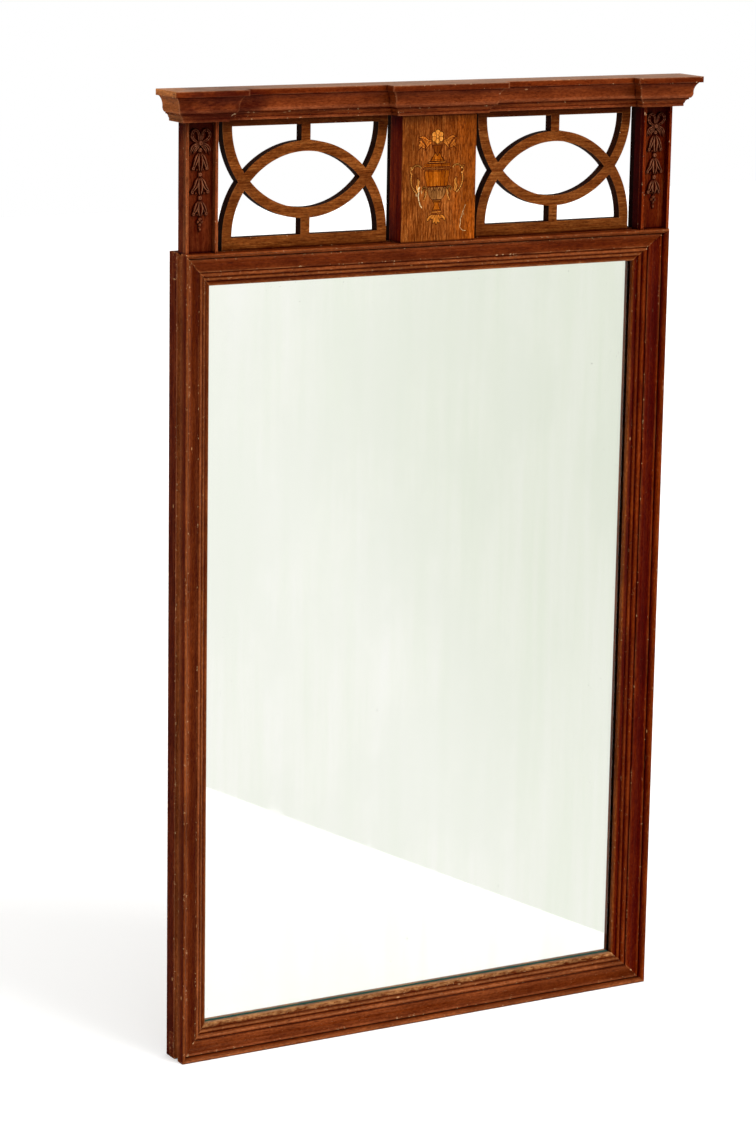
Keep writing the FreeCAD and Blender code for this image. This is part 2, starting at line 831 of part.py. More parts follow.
def husk(name, x, z):
    """A husk of three leaves whose outer two end in curled tips."""
    across_share = math.sin(math.radians(LEAF_LEAN))
    down_share = math.cos(math.radians(LEAF_LEAN))
    pieces = [leaf(f"{name}_front", mm.husk_length, mm.leaf_half_width, x, z)]
    for hand in (-1, 1):
        pieces.append(leaf(f"{name}_side_{hand}", mm.side_leaf_length, mm.leaf_half_width,
                           x, z, LEAF_LEAN * -hand))
        reach = mm.side_leaf_length - mm.tip_radius
        pieces.append(bead(f"{name}_tip_{hand}", mm.tip_radius,
                           x + reach * across_share * hand, z - reach * down_share))
    return pieces


def bow(name, x, z):
    """A ribbon bow about its knot: two loops to each side and two hanging ends."""
    pieces = [bead(f"{name}_knot", mm.bow_knot_radius, x, z)]
    for hand in (-1, 1):
        for size, out, radius in (("inner", mm.inner_loop_out, mm.inner_loop_radius),
                                  ("outer", mm.outer_loop_out, mm.outer_loop_radius)):
            loop = body(f"{name}_{size}_loop_{hand}")
            ribbon = ring_in(sketch_on(loop, "XZ_Plane"), radius)
            ring_in(ribbon, radius - mm.ribbon_width)
            pad(loop, ribbon, mm.ribbon_depth)
            pieces.append(place(loop, x + out * hand, panel_front, z + mm.loop_rise))
        pieces.append(leaf(f"{name}_end_{hand}", mm.ribbon_end_length, mm.ribbon_width,
                           x, z, RIBBON_LEAN * -hand))
    return pieces


def carving(side_name, hand):
    name = f"carving_{side_name}"
    x = hand * (pilaster_inner + frame_half) / 2
    knot = cornice_foot - mm.knot_drop
    pieces = bow(f"{name}_bow", x, knot)
    first_bead = knot - mm.first_bead_drop
    for index in range(3):
        level = first_bead - mm.husk_pitch * index
        pieces.append(bead(f"{name}_bead_{index}", mm.drop_bead_radius, x, level))
        pieces += husk(f"{name}_husk_{index}", x, level - mm.drop_bead_radius / 2)
    tail = first_bead - mm.husk_pitch * 2 - mm.drop_bead_radius - mm.husk_length
    for index, share in enumerate((1.0, 0.8)):
        pieces.append(bead(f"{name}_tail_{index}", mm.tail_bead_radius * share, x,
                           tail - mm.tail_bead_pitch * index))
    pieces.append(leaf(f"{name}_point", mm.tail_point_length, mm.tail_point_half_width, x,
                       tail - mm.tail_bead_pitch))
    half_stem = mm.drop_stem_width / 2
    pieces.append(block(f"{name}_stem", (x - half_stem, x + half_stem),
                        (panel_front - mm.ribbon_depth, panel_front),
                        (tail - mm.tail_bead_pitch, knot)))
    return node(joined(name, pieces), name)


carving("left", -1)
carving("right", 1)


# Tablet: a thick block with an upright-grained veneer on its front. The marquetry is let into
# the veneer, flush with it. Every corner of its pattern is a share of the pattern's span, across
# and up from the pattern's middle, with the radius of any arc that ends there. Pieces that lie
# across the middle are given by their right half, running upwards.

MIDDLE_SHARES = {
    "middle_leaf": [(0, 0.25), (0.042, 0.31), (0.066, 0.38), (0, 0.38)],
    "urn_lid": [(0, 0.19), (0.104, 0.19), (0.044, 0.286, -0.14), (0, 0.306)],
    "urn_rim": [(0, 0.124), (0.182, 0.124), (0.182, 0.16), (0, 0.16)],
    "urn_bowl": [(0, -0.11), (0.138, -0.11), (0.17, 0.084, 0.6), (0, 0.084)],
    "urn_stem": [(0, -0.39), (0.062, -0.39), (0.03, -0.33, -0.09), (0.048, -0.29, -0.07),
                 (0, -0.29)],
    "band_lid": [(0, 0.168), (0.124, 0.168), (0.124, 0.184), (0, 0.184)],
    "band_rim": [(0, 0.096), (0.19, 0.096), (0.19, 0.109), (0, 0.109)],
    "bowl_under": [(0, -0.268), (0.064, -0.268), (0.126, -0.118, 0.17), (0, -0.118)],
    "band_stem": [(0, -0.288), (0.058, -0.288), (0.058, -0.276), (0, -0.276)],
    "band_base": [(0, -0.426), (0.07, -0.426), (0.07, -0.406), (0, -0.406)],
    "palmette": [(0, -0.565), (0.02, -0.532, 0.05), (0.046, -0.548, 0.03), (0.05, -0.5, 0.05),
                 (0.08, -0.492), (0.126, -0.524, 0.08), (0.106, -0.464, 0.06),
                 (0.064, -0.446, 0.08), (0, -0.446)],
}
SIDE_SHARES = {
    "upper_leaf": [(0.082, 0.402), (0.116, 0.38), (0.176, 0.32), (0.152, 0.37),
                   (0.172, 0.404), (0.216, 0.46), (0.266, 0.474), (0.21, 0.496),
                   (0.164, 0.482), (0.124, 0.446), (0.086, 0.444)],
    "lower_leaf": [(0.182, 0.34), (0.224, 0.362), (0.262, 0.324), (0.252, 0.368), (0.27, 0.376),
                   (0.246, 0.406), (0.256, 0.436), (0.226, 0.448), (0.184, 0.398), (0.166, 0.37)],
    "hook_leaf": [(0.356, 0.076), (0.38, 0.136), (0.334, 0.124)],
    "scroll_leaf": [(0.23, -0.166), (0.266, -0.184), (0.294, -0.104), (0.274, -0.078), (0.268, 0),
                    (0.236, -0.04), (0.244, -0.1)],
    "inner_tail": [(0.139, -0.146), (0.18, -0.27), (0.17, -0.2), (0.155, -0.146)],
}
# Strips bent round a middle, each as (across, up, radius, strip width), and the degrees from the
# level at which each starts and ends.
SWEPT_SHARES = {
    "hook": (0.278, 0.079, 0.076, 0.016),
    "outer_sweep": (0.152, -0.02, 0.216, 0.02),
    "inner_sweep": (0.172, -0.14, 0.033, 0.016),
}
SWEPT_DEGREES = {"hook": (17, 148), "outer_sweep": (-52, 20), "inner_sweep": (0, 170)}
# The flower: six round petals about an eye.
FLOWER_SHARES = {"up": 0.48, "petal": 0.034, "petal_ring": 0.052, "eye": 0.036}
PETALS = 6

inlay_back = face_front + mm.veneer_thickness
inlay_height = (frame_top + crest_top) / 2 - mm.inlay_drop


def flat(name, corners):
    """One flat piece of the pattern, as thick as the veneer."""
    outline = [tuple(mm.inlay_span * share for share in corner) for corner in corners]
    owner = body(name)
    pad(owner, trace(sketch_on(owner, "XZ_Plane"), outline), mm.veneer_thickness)
    return place(owner, -mm.inlay_aside, inlay_back, inlay_height)


def mirrored(corners):
    """The same outline on the other side, run backwards so that its arcs bulge the same way."""
    radii = [corner[2:] for corner in corners]
    turned_about = zip(reversed(corners), [radii[0]] + radii[:0:-1])
    return [(-corner[0], corner[1], *radius) for corner, radius in turned_about]


def middle_piece(name):
    right = MIDDLE_SHARES[name]
    left = mirrored(right)
    return flat(name, right[1:] + left[1:])


def side_pair(name):
    right = SIDE_SHARES[name]
    return [flat(f"{name}_right", right), flat(f"{name}_left", mirrored(right))]


def swept_pair(name):
    """Two strips, each less than half a turn long."""
    across, up, radius, strip = SWEPT_SHARES[name]
    first, last = SWEPT_DEGREES[name]
    inner = radius - strip

    def spot(length, degrees):
        angle = math.radians(degrees)
        return across + length * math.cos(angle), up + length * math.sin(angle)

    right = [spot(radius, first), (*spot(radius, last), radius),
             spot(inner, last), (*spot(inner, first), -inner)]
    return [flat(f"{name}_right", right), flat(f"{name}_left", mirrored(right))]


def disc(name, radius_share, across_share, up_share):
    piece = rod(name, mm.inlay_span * radius_share, mm.veneer_thickness,
                Rotation(Vector(1, 0, 0), 90))
    return place(piece, mm.inlay_span * across_share - mm.inlay_aside, inlay_back,
                 inlay_height + mm.inlay_span * up_share)


flower = [disc("flower_eye", FLOWER_SHARES["eye"], 0, FLOWER_SHARES["up"])]
for index in range(PETALS):
    angle = math.radians(90 + 360 * index / PETALS)
    across_share = FLOWER_SHARES["petal_ring"] * math.cos(angle)
    up_share = FLOWER_SHARES["up"] + FLOWER_SHARES["petal_ring"] * math.sin(angle)
    flower.append(disc(f"petal_{index}", FLOWER_SHARES["petal"], across_share, up_share))
inlay_flowers = node(joined("inlay_flowers", flower), "inlay_flowers")

middle_leaf = middle_piece("middle_leaf")
inlay_leaves = node(group("inlay_leaves", [
    cut("middle_leaf_let_in", middle_leaf, inlay_flowers),
    *side_pair("upper_leaf"), *side_pair("lower_leaf"),
]), "inlay_leaves")
inlay_urn = node(group("inlay_urn", [
    cut("urn_lid_let_in", middle_piece("urn_lid"), middle_leaf),
    *[middle_piece(name) for name in ("urn_rim", "urn_bowl", "urn_stem")],
]), "inlay_urn")
inlay_urn_bands = node(group("inlay_urn_bands", [
    middle_piece(name)
    for name in ("band_lid", "band_rim", "bowl_under", "band_stem", "band_base")
]), "inlay_urn_bands")
inlay_scrolls = node(group("inlay_scrolls", [
    *swept_pair("hook"), *side_pair("hook_leaf"), *swept_pair("outer_sweep"),
    *side_pair("scroll_leaf"), *swept_pair("inner_sweep"), *side_pair("inner_tail"),
]), "inlay_scrolls")
inlay_palmette = node(middle_piece("palmette"), "inlay_palmette")

veneer_sheet = block("tablet_veneer", (-tablet_half, tablet_half),
                     (face_front, inlay_back), (frame_top, crest_top))
node(cut("tablet_veneer", veneer_sheet, inlay_flowers, inlay_leaves, inlay_urn, inlay_urn_bands,
         inlay_scrolls, inlay_palmette), "tablet_veneer")
tablet_block = block("tablet_block", (-tablet_half, tablet_half),
                     (inlay_back, crest_back), (frame_top, crest_top))
node(cut("tablet_block", tablet_block, crest_dowels), "tablet_block")


# Cornice: a core board over the crest, and eleven mitred lengths of one moulding planted round
# its front and ends. The moulding hangs a little below the core in front of the crest.

core_stations = [
    (frame_half, crest_back), (frame_half, pilaster_front), (pilaster_inner, pilaster_front),
    (pilaster_inner, fret_front), (centre_half, fret_front), (centre_half, face_front),
]


def cornice_core():
    owner = body("cornice_core")
    across = core_stations + [(-x, y) for x, y in reversed(core_stations)]
    plan = trace(sketch_on(owner, "XY_Plane"), list(reversed(across)))
    pad(owner, plan, mm.cornice_height - mm.cornice_drop)
    place(owner, z=crest_top)
    return node(cut("cornice_core", owner, crest_dowels), "cornice_core")


def cornice_profile():
    """The section, from the back down the front, with outwards as -Y."""
    cap_foot = mm.cornice_height - mm.cap_height
    return [
        (0, 0),
        (0, mm.cornice_height),
        (-mm.cornice_projection, mm.cornice_height),
        (-mm.cornice_projection, cap_foot),
        (-mm.hollow_projection, cap_foot),
        (-mm.hollow_projection, cap_foot - mm.cap_step),
        (-mm.turn_projection, mm.turn_top, -mm.hollow_radius),
        (-mm.swell_projection, mm.band_top, mm.swell_radius),
        (-mm.band_projection, mm.band_top),
        (-mm.band_projection, mm.cove_top),
        (-mm.cove_projection, mm.cove_top),
        (-mm.foot_projection - mm.foot_step, mm.foot_height + mm.foot_step,
         -mm.small_cove_radius),
        (-mm.foot_projection, mm.foot_height),
        (-mm.foot_projection, 0),
    ]


def cornice_length(name, start, run, first_mitre, last_mitre, turn=0):
    """One length: a mitre of 1 goes round an outer corner, -1 an inner one and 0 is square."""
    owner = body(name)
    out = mm.cornice_projection + mm.overrun
    outline = trace(sketch_on(owner, "YZ_Plane", -out), cornice_profile())
    pad(owner, outline, run + out * 2)
    ends = sketch_on(owner, "XY_Plane")
    trace(ends, [
        (first_mitre * mm.overrun, mm.overrun), (-first_mitre * out, -out),
        (-out - mm.overrun, -out), (-out - mm.overrun, mm.overrun)])
    trace(ends, [
        (run - last_mitre * mm.overrun, mm.overrun), (run + last_mitre * out, -out),
        (run + out + mm.overrun, -out), (run + out + mm.overrun, mm.overrun)])
    pocket(owner, ends, 2 * (mm.cornice_height + mm.overrun), symmetric=True)
    owner.Placement = Placement(Vector(), Rotation(Vector(0, 0, 1), turn))
    place(owner, start[0], start[1], cornice_foot)
    return node(owner, name)


cornice_core()
end_run = crest_back - pilaster_front
step_run = fret_front - pilaster_front
recess_run = pilaster_inner - centre_half
centre_run = fret_front - face_front
cornice_length("cornice_end_left", (-frame_half, crest_back), end_run, 0, 1, -90)
cornice_length("cornice_break_left", (-frame_half, pilaster_front), mm.pilaster_width, 1, 1)
cornice_length("cornice_step_left", (-pilaster_inner, pilaster_front), step_run, 1, -1, 90)
cornice_length("cornice_recess_left", (-pilaster_inner, fret_front), recess_run, -1, -1)
cornice_length("cornice_centre_left", (-centre_half, fret_front), centre_run, -1, 1, -90)
cornice_length("cornice_centre", (-centre_half, face_front), 2 * centre_half, 1, 1)
cornice_length("cornice_centre_right", (centre_half, face_front), centre_run, 1, -1, 90)
cornice_length("cornice_recess_right", (centre_half, fret_front), recess_run, -1, -1)
cornice_length("cornice_step_right", (pilaster_inner, fret_front), step_run, -1, 1, -90)
cornice_length("cornice_break_right", (pilaster_inner, pilaster_front), mm.pilaster_width, 1, 1)
cornice_length("cornice_end_right", (frame_half, pilaster_front), end_run, 1, 0, 90)


# Every piece is checked before any is written.

doc.recompute()
for thing in doc.Objects:
    if "Invalid" in thing.State or "Error" in thing.State:
        raise RuntimeError(f"{thing.Name} failed to rebuild: {thing.State}")
for piece in nodes:
    if piece.Shape.isNull() or not piece.Shape.isValid():
        raise RuntimeError(f"{piece.Label} has no valid shape")
os.makedirs("parts", exist_ok=True)
for piece in nodes:
    piece.Shape.exportStep(f"parts/{piece.Label}.step")
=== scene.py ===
import math

import bmesh
import bpy
from mathutils import Matrix, Vector


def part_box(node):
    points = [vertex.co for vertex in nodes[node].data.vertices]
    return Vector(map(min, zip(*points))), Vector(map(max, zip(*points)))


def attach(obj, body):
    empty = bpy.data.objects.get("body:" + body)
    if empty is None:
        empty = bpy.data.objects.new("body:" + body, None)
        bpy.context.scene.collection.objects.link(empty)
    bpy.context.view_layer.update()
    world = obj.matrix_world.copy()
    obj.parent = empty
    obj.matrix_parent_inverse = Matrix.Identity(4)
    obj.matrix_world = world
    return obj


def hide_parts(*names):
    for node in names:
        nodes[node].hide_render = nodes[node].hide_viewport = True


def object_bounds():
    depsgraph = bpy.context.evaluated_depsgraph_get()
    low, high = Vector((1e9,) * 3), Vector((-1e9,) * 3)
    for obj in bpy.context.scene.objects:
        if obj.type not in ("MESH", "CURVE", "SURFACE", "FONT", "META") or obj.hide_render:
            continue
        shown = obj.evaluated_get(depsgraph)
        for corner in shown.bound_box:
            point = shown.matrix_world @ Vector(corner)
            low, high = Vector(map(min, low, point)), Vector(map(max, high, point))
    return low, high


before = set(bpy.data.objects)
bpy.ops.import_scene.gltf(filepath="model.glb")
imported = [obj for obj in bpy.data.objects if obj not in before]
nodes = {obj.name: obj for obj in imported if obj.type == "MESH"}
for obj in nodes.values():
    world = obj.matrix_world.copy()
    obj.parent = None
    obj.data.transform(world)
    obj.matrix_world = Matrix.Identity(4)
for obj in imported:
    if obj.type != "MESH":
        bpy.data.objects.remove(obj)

cad_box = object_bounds()


# Back frame: two stiles and two rails of softwood, halved together at the corners and stained
# dark red-brown. Only its outer edges show beside the face moulding. The same straight-grained
# wood, under other stains and polishes, makes nearly every other piece.

def seen(red, green, blue):
    """A colour as the eye meets it, 0 to 255, in the form that a finish takes."""
    return [((part / 255 + 0.055) / 1.055) ** 2.4 if part > 10.3 else part / 3294.6
            for part in (red, green, blue)] + [1.0]


class Recipe:
    """Nodes being joined up, for a finish or for the sky."""

    def __init__(self, tree):
        self.nodes, self.links = tree.nodes, tree.links
        self.nodes.clear()

    def give(self, socket, value):
        """Joins a result to a socket, or sets a plain value on it."""
        if isinstance(value, bpy.types.NodeSocket):
            self.links.new(value, socket)
        else:
            socket.default_value = value

    def node(self, kind, **given):
        """A new node, with what is given to its sockets by name."""
        node = self.nodes.new("ShaderNode" + kind)
        for name, value in given.items():
            self.give(node.inputs[name], value)
        return node

    def sum(self, way, *values, clamp=False):
        """What comes of one step of reckoning with some values."""
        node = self.node("Math")
        node.operation = way
        node.use_clamp = clamp
        for socket, value in zip(node.inputs, values):
            self.give(socket, value)
        return node.outputs["Value"]

    def plus(self, one, two):
        return self.sum("ADD", one, two)

    def minus(self, one, two):
        return self.sum("SUBTRACT", one, two)

    def times(self, one, two):
        return self.sum("MULTIPLY", one, two)

    def larger(self, one, two):
        return self.sum("MAXIMUM", one, two)

    def unsigned(self, value):
        return self.sum("ABSOLUTE", value)


class Finish(Recipe):
    """A finish being made up. Everything in it starts from where a point lies on the piece."""

    # The places of a mixing node's two colours, and of what comes of them.
    UNDER, OVER, MIXED = 6, 7, 2

    def __init__(self, name):
        self.material = bpy.data.materials.new(name)
        self.material.use_nodes = True
        super().__init__(self.material.node_tree)
        self.shader = self.node("BsdfPrincipled")
        self.node("OutputMaterial", Surface=self.shader.outputs["BSDF"])
        self.where = self.node("TexCoord").outputs["Object"]

    def look(self, name, value):
        """Gives the shader one of its values, plain or worked out."""
        self.give(self.shader.inputs[name], value)

    def clouds(self, size, detail=3.0, break_up=0.5, shift=0.0):
        """Cloudy patches of about this size in millimetres along X, Y and Z."""
        spread = self.node("Mapping", Vector=self.where, Scale=[1000 / part for part in size],
                           Location=(shift, 1.7 * shift, 2.3 * shift))
        return self.node("TexNoise", Vector=spread.outputs["Vector"], Scale=1.0, Detail=detail,
                         Roughness=break_up).outputs["Fac"]

    def between(self, value, low, high, start=0.0, end=1.0):
        """Runs smoothly from start to end while the value goes from low to high."""
        node = self.node("MapRange")
        node.interpolation_type = "SMOOTHSTEP"
        for socket, part in zip(node.inputs, (value, low, high, start, end)):
            self.give(socket, part)
        return node.outputs["Result"]

    def blend(self, amount, under, over, way="MIX"):
        """Lays one colour over another by some amount."""
        node = self.node("Mix")
        node.data_type = "RGBA"
        node.blend_type = way
        node.clamp_result = True
        self.give(node.inputs["Factor"], amount)
        self.give(node.inputs[self.UNDER], under)
        self.give(node.inputs[self.OVER], over)
        return node.outputs[self.MIXED]

    def shades(self, value, *stops):
        """Colours in order along the value, each as (place, colour)."""
        node = self.node("ValToRGB", Fac=value)
        band = node.color_ramp.elements
        while len(band) < len(stops):
            band.new(0.5)
        for element, (spot, colour) in zip(band, stops):
            element.position = spot
            element.color = colour
        return node.outputs["Color"]

    def axis(self, letter):
        """Where a point lies along one axis, in metres."""
        return self.node("SeparateXYZ", Vector=self.where).outputs[letter]

    def ramp(self, letter, low, high, start=0.0, end=1.0):
        """Runs smoothly from start to end between two places along an axis, in metres."""
        return self.between(self.axis(letter), low, high, start, end)

    def nearness(self, reach, inside=False):
        """How much lies close by: outside in a hollow, or inside the piece near an arris."""
        node = self.node("AmbientOcclusion", Distance=reach / 1000)
        node.samples = 4 if inside else 3
        node.inside = node.only_local = inside
        return self.minus(1.0, node.outputs["AO"])

    def turned(self, letter):
        """How squarely the surface faces along an axis, from -1 to 1."""
        normal = self.node("NewGeometry").outputs["Normal"]
        return self.node("SeparateXYZ", Vector=normal).outputs[letter]

    def facing(self, letter):
        """How squarely the surface faces along an axis, either way."""
        return self.unsigned(self.turned(letter))

    def raised(self, height, strength, depth):
        """Roughens the surface by this height, depth in millimetres."""
        node = self.node("Bump", Strength=strength, Distance=depth / 1000, Height=height)
        self.look("Normal", node.outputs["Normal"])

    def specks(self, size, share, shift, flat=False):
        """Small round specks in a few of the cells that space, or one face, is divided into."""
        scale = [1000 / part for part in size]
        spread = self.node("Mapping", Vector=self.where,
                           Location=(shift, 0.3 * shift * (not flat), shift),
                           Scale=(scale[0], 0.001 if flat else scale[1], scale[2]))
        cells = self.node("TexVoronoi", Vector=spread.outputs["Vector"], Scale=1.0)
        chosen = self.node("SeparateColor", Color=cells.outputs["Color"])
        return self.times(self.between(cells.outputs["Distance"], 0.22, 0.12),
                          self.between(chosen.outputs["Red"], 1 - share, 1 - share + 0.01))


# Grime and painted shade in the hollows, deeper painted shade in wide hollows, dust on the wood,
# and bare wood in its nicks and breaks, as the eye meets them.
GRIME_AND_SHADE, DEEP_SHADE, DUST = (26, 8, 3), (30, 10, 4), (184, 144, 122)
NICKED, BROKEN = (206, 146, 98), (222, 172, 126)


def wood(name, grain, dark, middle, light, streaky=0.6, fineness=0.4, worn=(186, 108, 60),
         wear=0.5, chips=0.3, grime_and_shade=0.85, dust=0.0, shine=0.42, shift=0.0, tint=None):
    """Straight-grained wood under old polish: streaks and pores along the grain, smudges and
    broad patches, rubbed and chipped arrises, grime and painted shade in the hollows and dust on
    what faces up."""
    made = Finish(name)

    def along(across, length):
        return [length if letter == grain else across for letter in "XYZ"]

    streaks = made.clouds(along(4.0, 160), 5.0, 0.62, shift)
    fine = made.clouds(along(1.2, 26), 3.0, 0.6, shift + 3)
    pores = made.clouds(along(0.8, 10), 2.0, 0.5, shift + 5)
    broad = made.clouds(along(40, 220), 4.0, 0.6, shift + 7)
    body = made.plus(made.times(streaks, 1 - fineness), made.times(fine, fineness))
    span = 0.13 / streaky
    colour = made.shades(body, (0.5 - span, seen(*dark)), (0.5, seen(*middle)),
                         (0.5 + span, seen(*light)))
    if tint:
        colour = tint(made, colour)
    colour = made.blend(made.between(pores, 0.58, 0.70, 0.0, 0.6), colour,
                        seen(*[0.4 * part for part in dark]))
    smudges = made.between(made.clouds(along(13, 64), 5.0, 0.65, shift + 9), 0.34, 0.66,
                           0.74, 1.22)
    grit = made.between(made.clouds(along(1.8, 4.5), 3.0, 0.65, shift + 12), 0.32, 0.68,
                        0.74, 1.26)
    colour = made.blend(1.0, colour, made.times(smudges, grit), "MULTIPLY")
    colour = made.blend(made.between(broad, 0.42, 0.66, 0.0, 0.4), colour,
                        seen(*[0.62 * part for part in middle]))
    crumble = made.clouds((4.5, 4.5, 4.5), 4.0, 0.6, shift + 13)
    broken = 0.0
    if wear:
        patchy = made.clouds(along(14, 46), 3.0, 0.6, shift + 17)
        arris = made.nearness(1.6, inside=True)
        rubbed = made.times(made.between(arris, 0.14, 0.42),
                            made.between(patchy, 0.40, 0.64, 0.1, 1.0))
        colour = made.blend(made.times(rubbed, wear), colour, seen(*worn))
        if chips:
            broken = made.times(made.between(arris, 0.10, 0.30),
                                made.between(crumble, 0.67 - 0.08 * chips, 0.71 - 0.08 * chips))
            nicks = made.specks(along(6, 13), 0.02 * chips, shift + 19)
            colour = made.blend(made.times(nicks, 0.7), colour, seen(*NICKED))
            colour = made.blend(made.times(broken, 0.85), colour, seen(*BROKEN))
    # Painted shade, partly grime: darker in tight hollows, darker still deep in wide ones.
    if grime_and_shade:
        tight = made.nearness(2.2)
        colour = made.blend(made.times(made.between(tight, 0.16, 0.55), grime_and_shade), colour,
                            seen(*GRIME_AND_SHADE))
        wide = made.nearness(14.0)
        colour = made.blend(made.times(made.between(wide, 0.30, 0.95), 0.8 * grime_and_shade),
                            colour, seen(*DEEP_SHADE))
    if dust:
        lying = made.times(made.between(made.turned("Z"), 0.55, 0.95),
                           made.between(crumble, 0.30, 0.70, 0.45, 1.0))
        colour = made.blend(made.times(lying, dust), colour, seen(*DUST))
    # The polish deepens every dark to a pure dark red.
    colour = made.blend(1.0, colour, (0.0, 0.0075, 0.0035, 1), "SUBTRACT")
    colour = made.blend(1.0, colour, (1.0, 1.1, 1.1, 1), "MULTIPLY")
    made.look("Base Color", colour)
    made.look("Roughness", made.between(made.plus(broad, made.times(crumble, 0.4)),
                                        0.4, 1.0, shine - 0.12, shine + 0.10))
    made.look("Specular IOR Level", 0.05)
    made.look("Specular Tint", (1.0, 0.6, 0.34, 1))
    made.raised(made.minus(made.plus(body, made.times(pores, -0.4)),
                           made.times(broken, 1.2)), 0.6, 0.4)
    return made.material


def dress(names, material, eased=0.0):
    """Finishes pieces of the frame as built, and eases their arrises by this many millimetres."""
    for name in names.split():
        node = nodes[name]
        for spot in node.material_slots:
            spot.material = material
        if not node.material_slots:
            node.data.materials.append(material)
        if eased:
            weld = node.modifiers.new("joined faces", "WELD")
            weld.merge_threshold = 0.00001
            ease = node.modifiers.new("eased arrises", "BEVEL")
            ease.width = eased / 1000
            ease.segments = 2
            ease.limit_method = "ANGLE"
            ease.angle_limit = math.radians(38)
            ease.use_clamp_overlap = True
            even = node.modifiers.new("even shading", "WEIGHTED_NORMAL")
            even.keep_sharp = True


back_tones = dict(dark=(52, 18, 6), middle=(88, 34, 12), light=(124, 62, 30), wear=0.6,
                  chips=0.8, grime_and_shade=0.7, shine=0.5)
for names, part, grain, shift in (("back_frame_left back_frame_right", "stiles", "Z", 1),
                                  ("back_frame_top back_frame_bottom", "rails", "X", 2)):
    dress(names, wood(f"back frame {part}", grain, shift=shift, **back_tones), eased=0.6)


# Mirror plate: five millimetres of old, slightly green float glass. Its silvering is brushed on
# behind and has aged to faint upright streaks, with black specks of foxing towards the edges.

glass = Finish("green plate glass")
glass.look("Transmission Weight", 1.0)
glass.look("IOR", 1.5)
glass.look("Base Color", (0.975, 0.99, 0.98, 1.0))
smears = glass.clouds((60, 60, 150), 4.0, 0.6)
glass.look("Roughness", glass.between(smears, 0.45, 0.8, 0.0, 0.03))
glass.raised(glass.clouds((180, 180, 240), 2.0), 0.02, 0.5)
dress("glass_plate", glass.material)

silver = Finish("aged silvering")
silver.look("Metallic", 1.0)
runs = silver.clouds((22, 22, 420), 4.0, 0.55)
pale_runs = silver.clouds((70, 70, 500), 3.0, 0.5, 4.0)
coat = silver.shades(silver.plus(silver.times(runs, 0.6), silver.times(pale_runs, 0.4)),
                     (0.38, (0.945, 0.965, 0.905, 1)), (0.50, (0.975, 0.98, 0.94, 1)),
                     (0.62, (1.0, 0.995, 0.975, 1)))
edge_way = silver.unsigned(silver.axis("X"))
plate_low, plate_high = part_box("glass_plate")
edge_up = silver.unsigned(silver.minus(silver.axis("Z"), (plate_low.z + plate_high.z) / 2))
at_edge = silver.larger(silver.between(edge_way, 0.20, 0.30), silver.between(edge_up, 0.34, 0.45))
damp = silver.times(at_edge, silver.between(silver.clouds((40, 40, 60), 4.0), 0.5, 0.62))
spots = silver.larger(silver.specks((7, 7, 7), 0.004, 2.0, flat=True),
                      silver.times(silver.specks((3, 3, 3), 0.08, 7.0, flat=True), damp))
dulled = silver.between(silver.clouds((170, 170, 260), 4.0, 0.6, 11.0), 0.44, 0.62, 0.0, 0.6)
coat = silver.blend(dulled, coat, (0.93, 0.945, 0.90, 1))
coat = silver.blend(silver.times(spots, 0.8), coat, seen(104, 98, 82))
silver.look("Base Color", coat)
silver.look("Roughness",
            silver.plus(silver.between(runs, 0.45, 0.75, 0.012, 0.05), silver.times(spots, 0.5)))
dress("silvering", silver.material)
grip = nodes["silvering"].modifiers.new("pressed into the glass", "DISPLACE")
grip.mid_level = 0.0
grip.strength = 0.00004


# Glass blocks, backing board and its pins: small softwood blocks rubbed in behind the plate, a
# thin bare board over its back, browned by age, and steel pins driven sideways into the frame.

dress("glass_blocks", wood("bare blocks", "X", (118, 84, 52), (150, 110, 70), (178, 138, 92),
                           wear=0.2, chips=0, grime_and_shade=0.4, shine=0.7, shift=21.0), eased=0.4)
dress("backing_board", wood("bare backing board", "Z", (104, 74, 46), (138, 101, 64),
                            (166, 128, 86), wear=0.2, chips=0, grime_and_shade=0.5, shine=0.75, shift=22.0))


def metal(name, colour, tarnish, rough, shift=0.0):
    """Old metal: dull patches, fine wear and brighter rubbed arrises."""
    made = Finish(name)
    made.look("Metallic", 0.6)
    patches = made.clouds((5, 5, 5), 4.0, 0.6, shift)
    colour = made.blend(made.between(patches, 0.40, 0.65), seen(*colour), seen(*tarnish))
    arris = made.between(made.nearness(0.4, inside=True), 0.2, 0.5, 0.0, 0.6)
    made.look("Base Color", made.blend(arris, colour, seen(235, 222, 190)))
    made.look("Roughness", made.between(patches, 0.3, 0.7, rough, rough + 0.2))
    made.raised(made.clouds((0.8, 0.8, 0.8), 3.0, 0.6, shift), 0.3, 0.08)
    return made.material


steel = metal("dull steel", (150, 147, 140), (92, 78, 62), 0.42)
dress("backing_pins", steel)


# Face moulding: four mitred lengths of mahogany, screwed on from behind. A hollow lip runs down to
# the plate, then two beads, a wide hollow field and a rounded border. Painted shade, partly grime,
# lies along the quirks, and every crest is paler, partly rubbed wear and partly painted highlight.

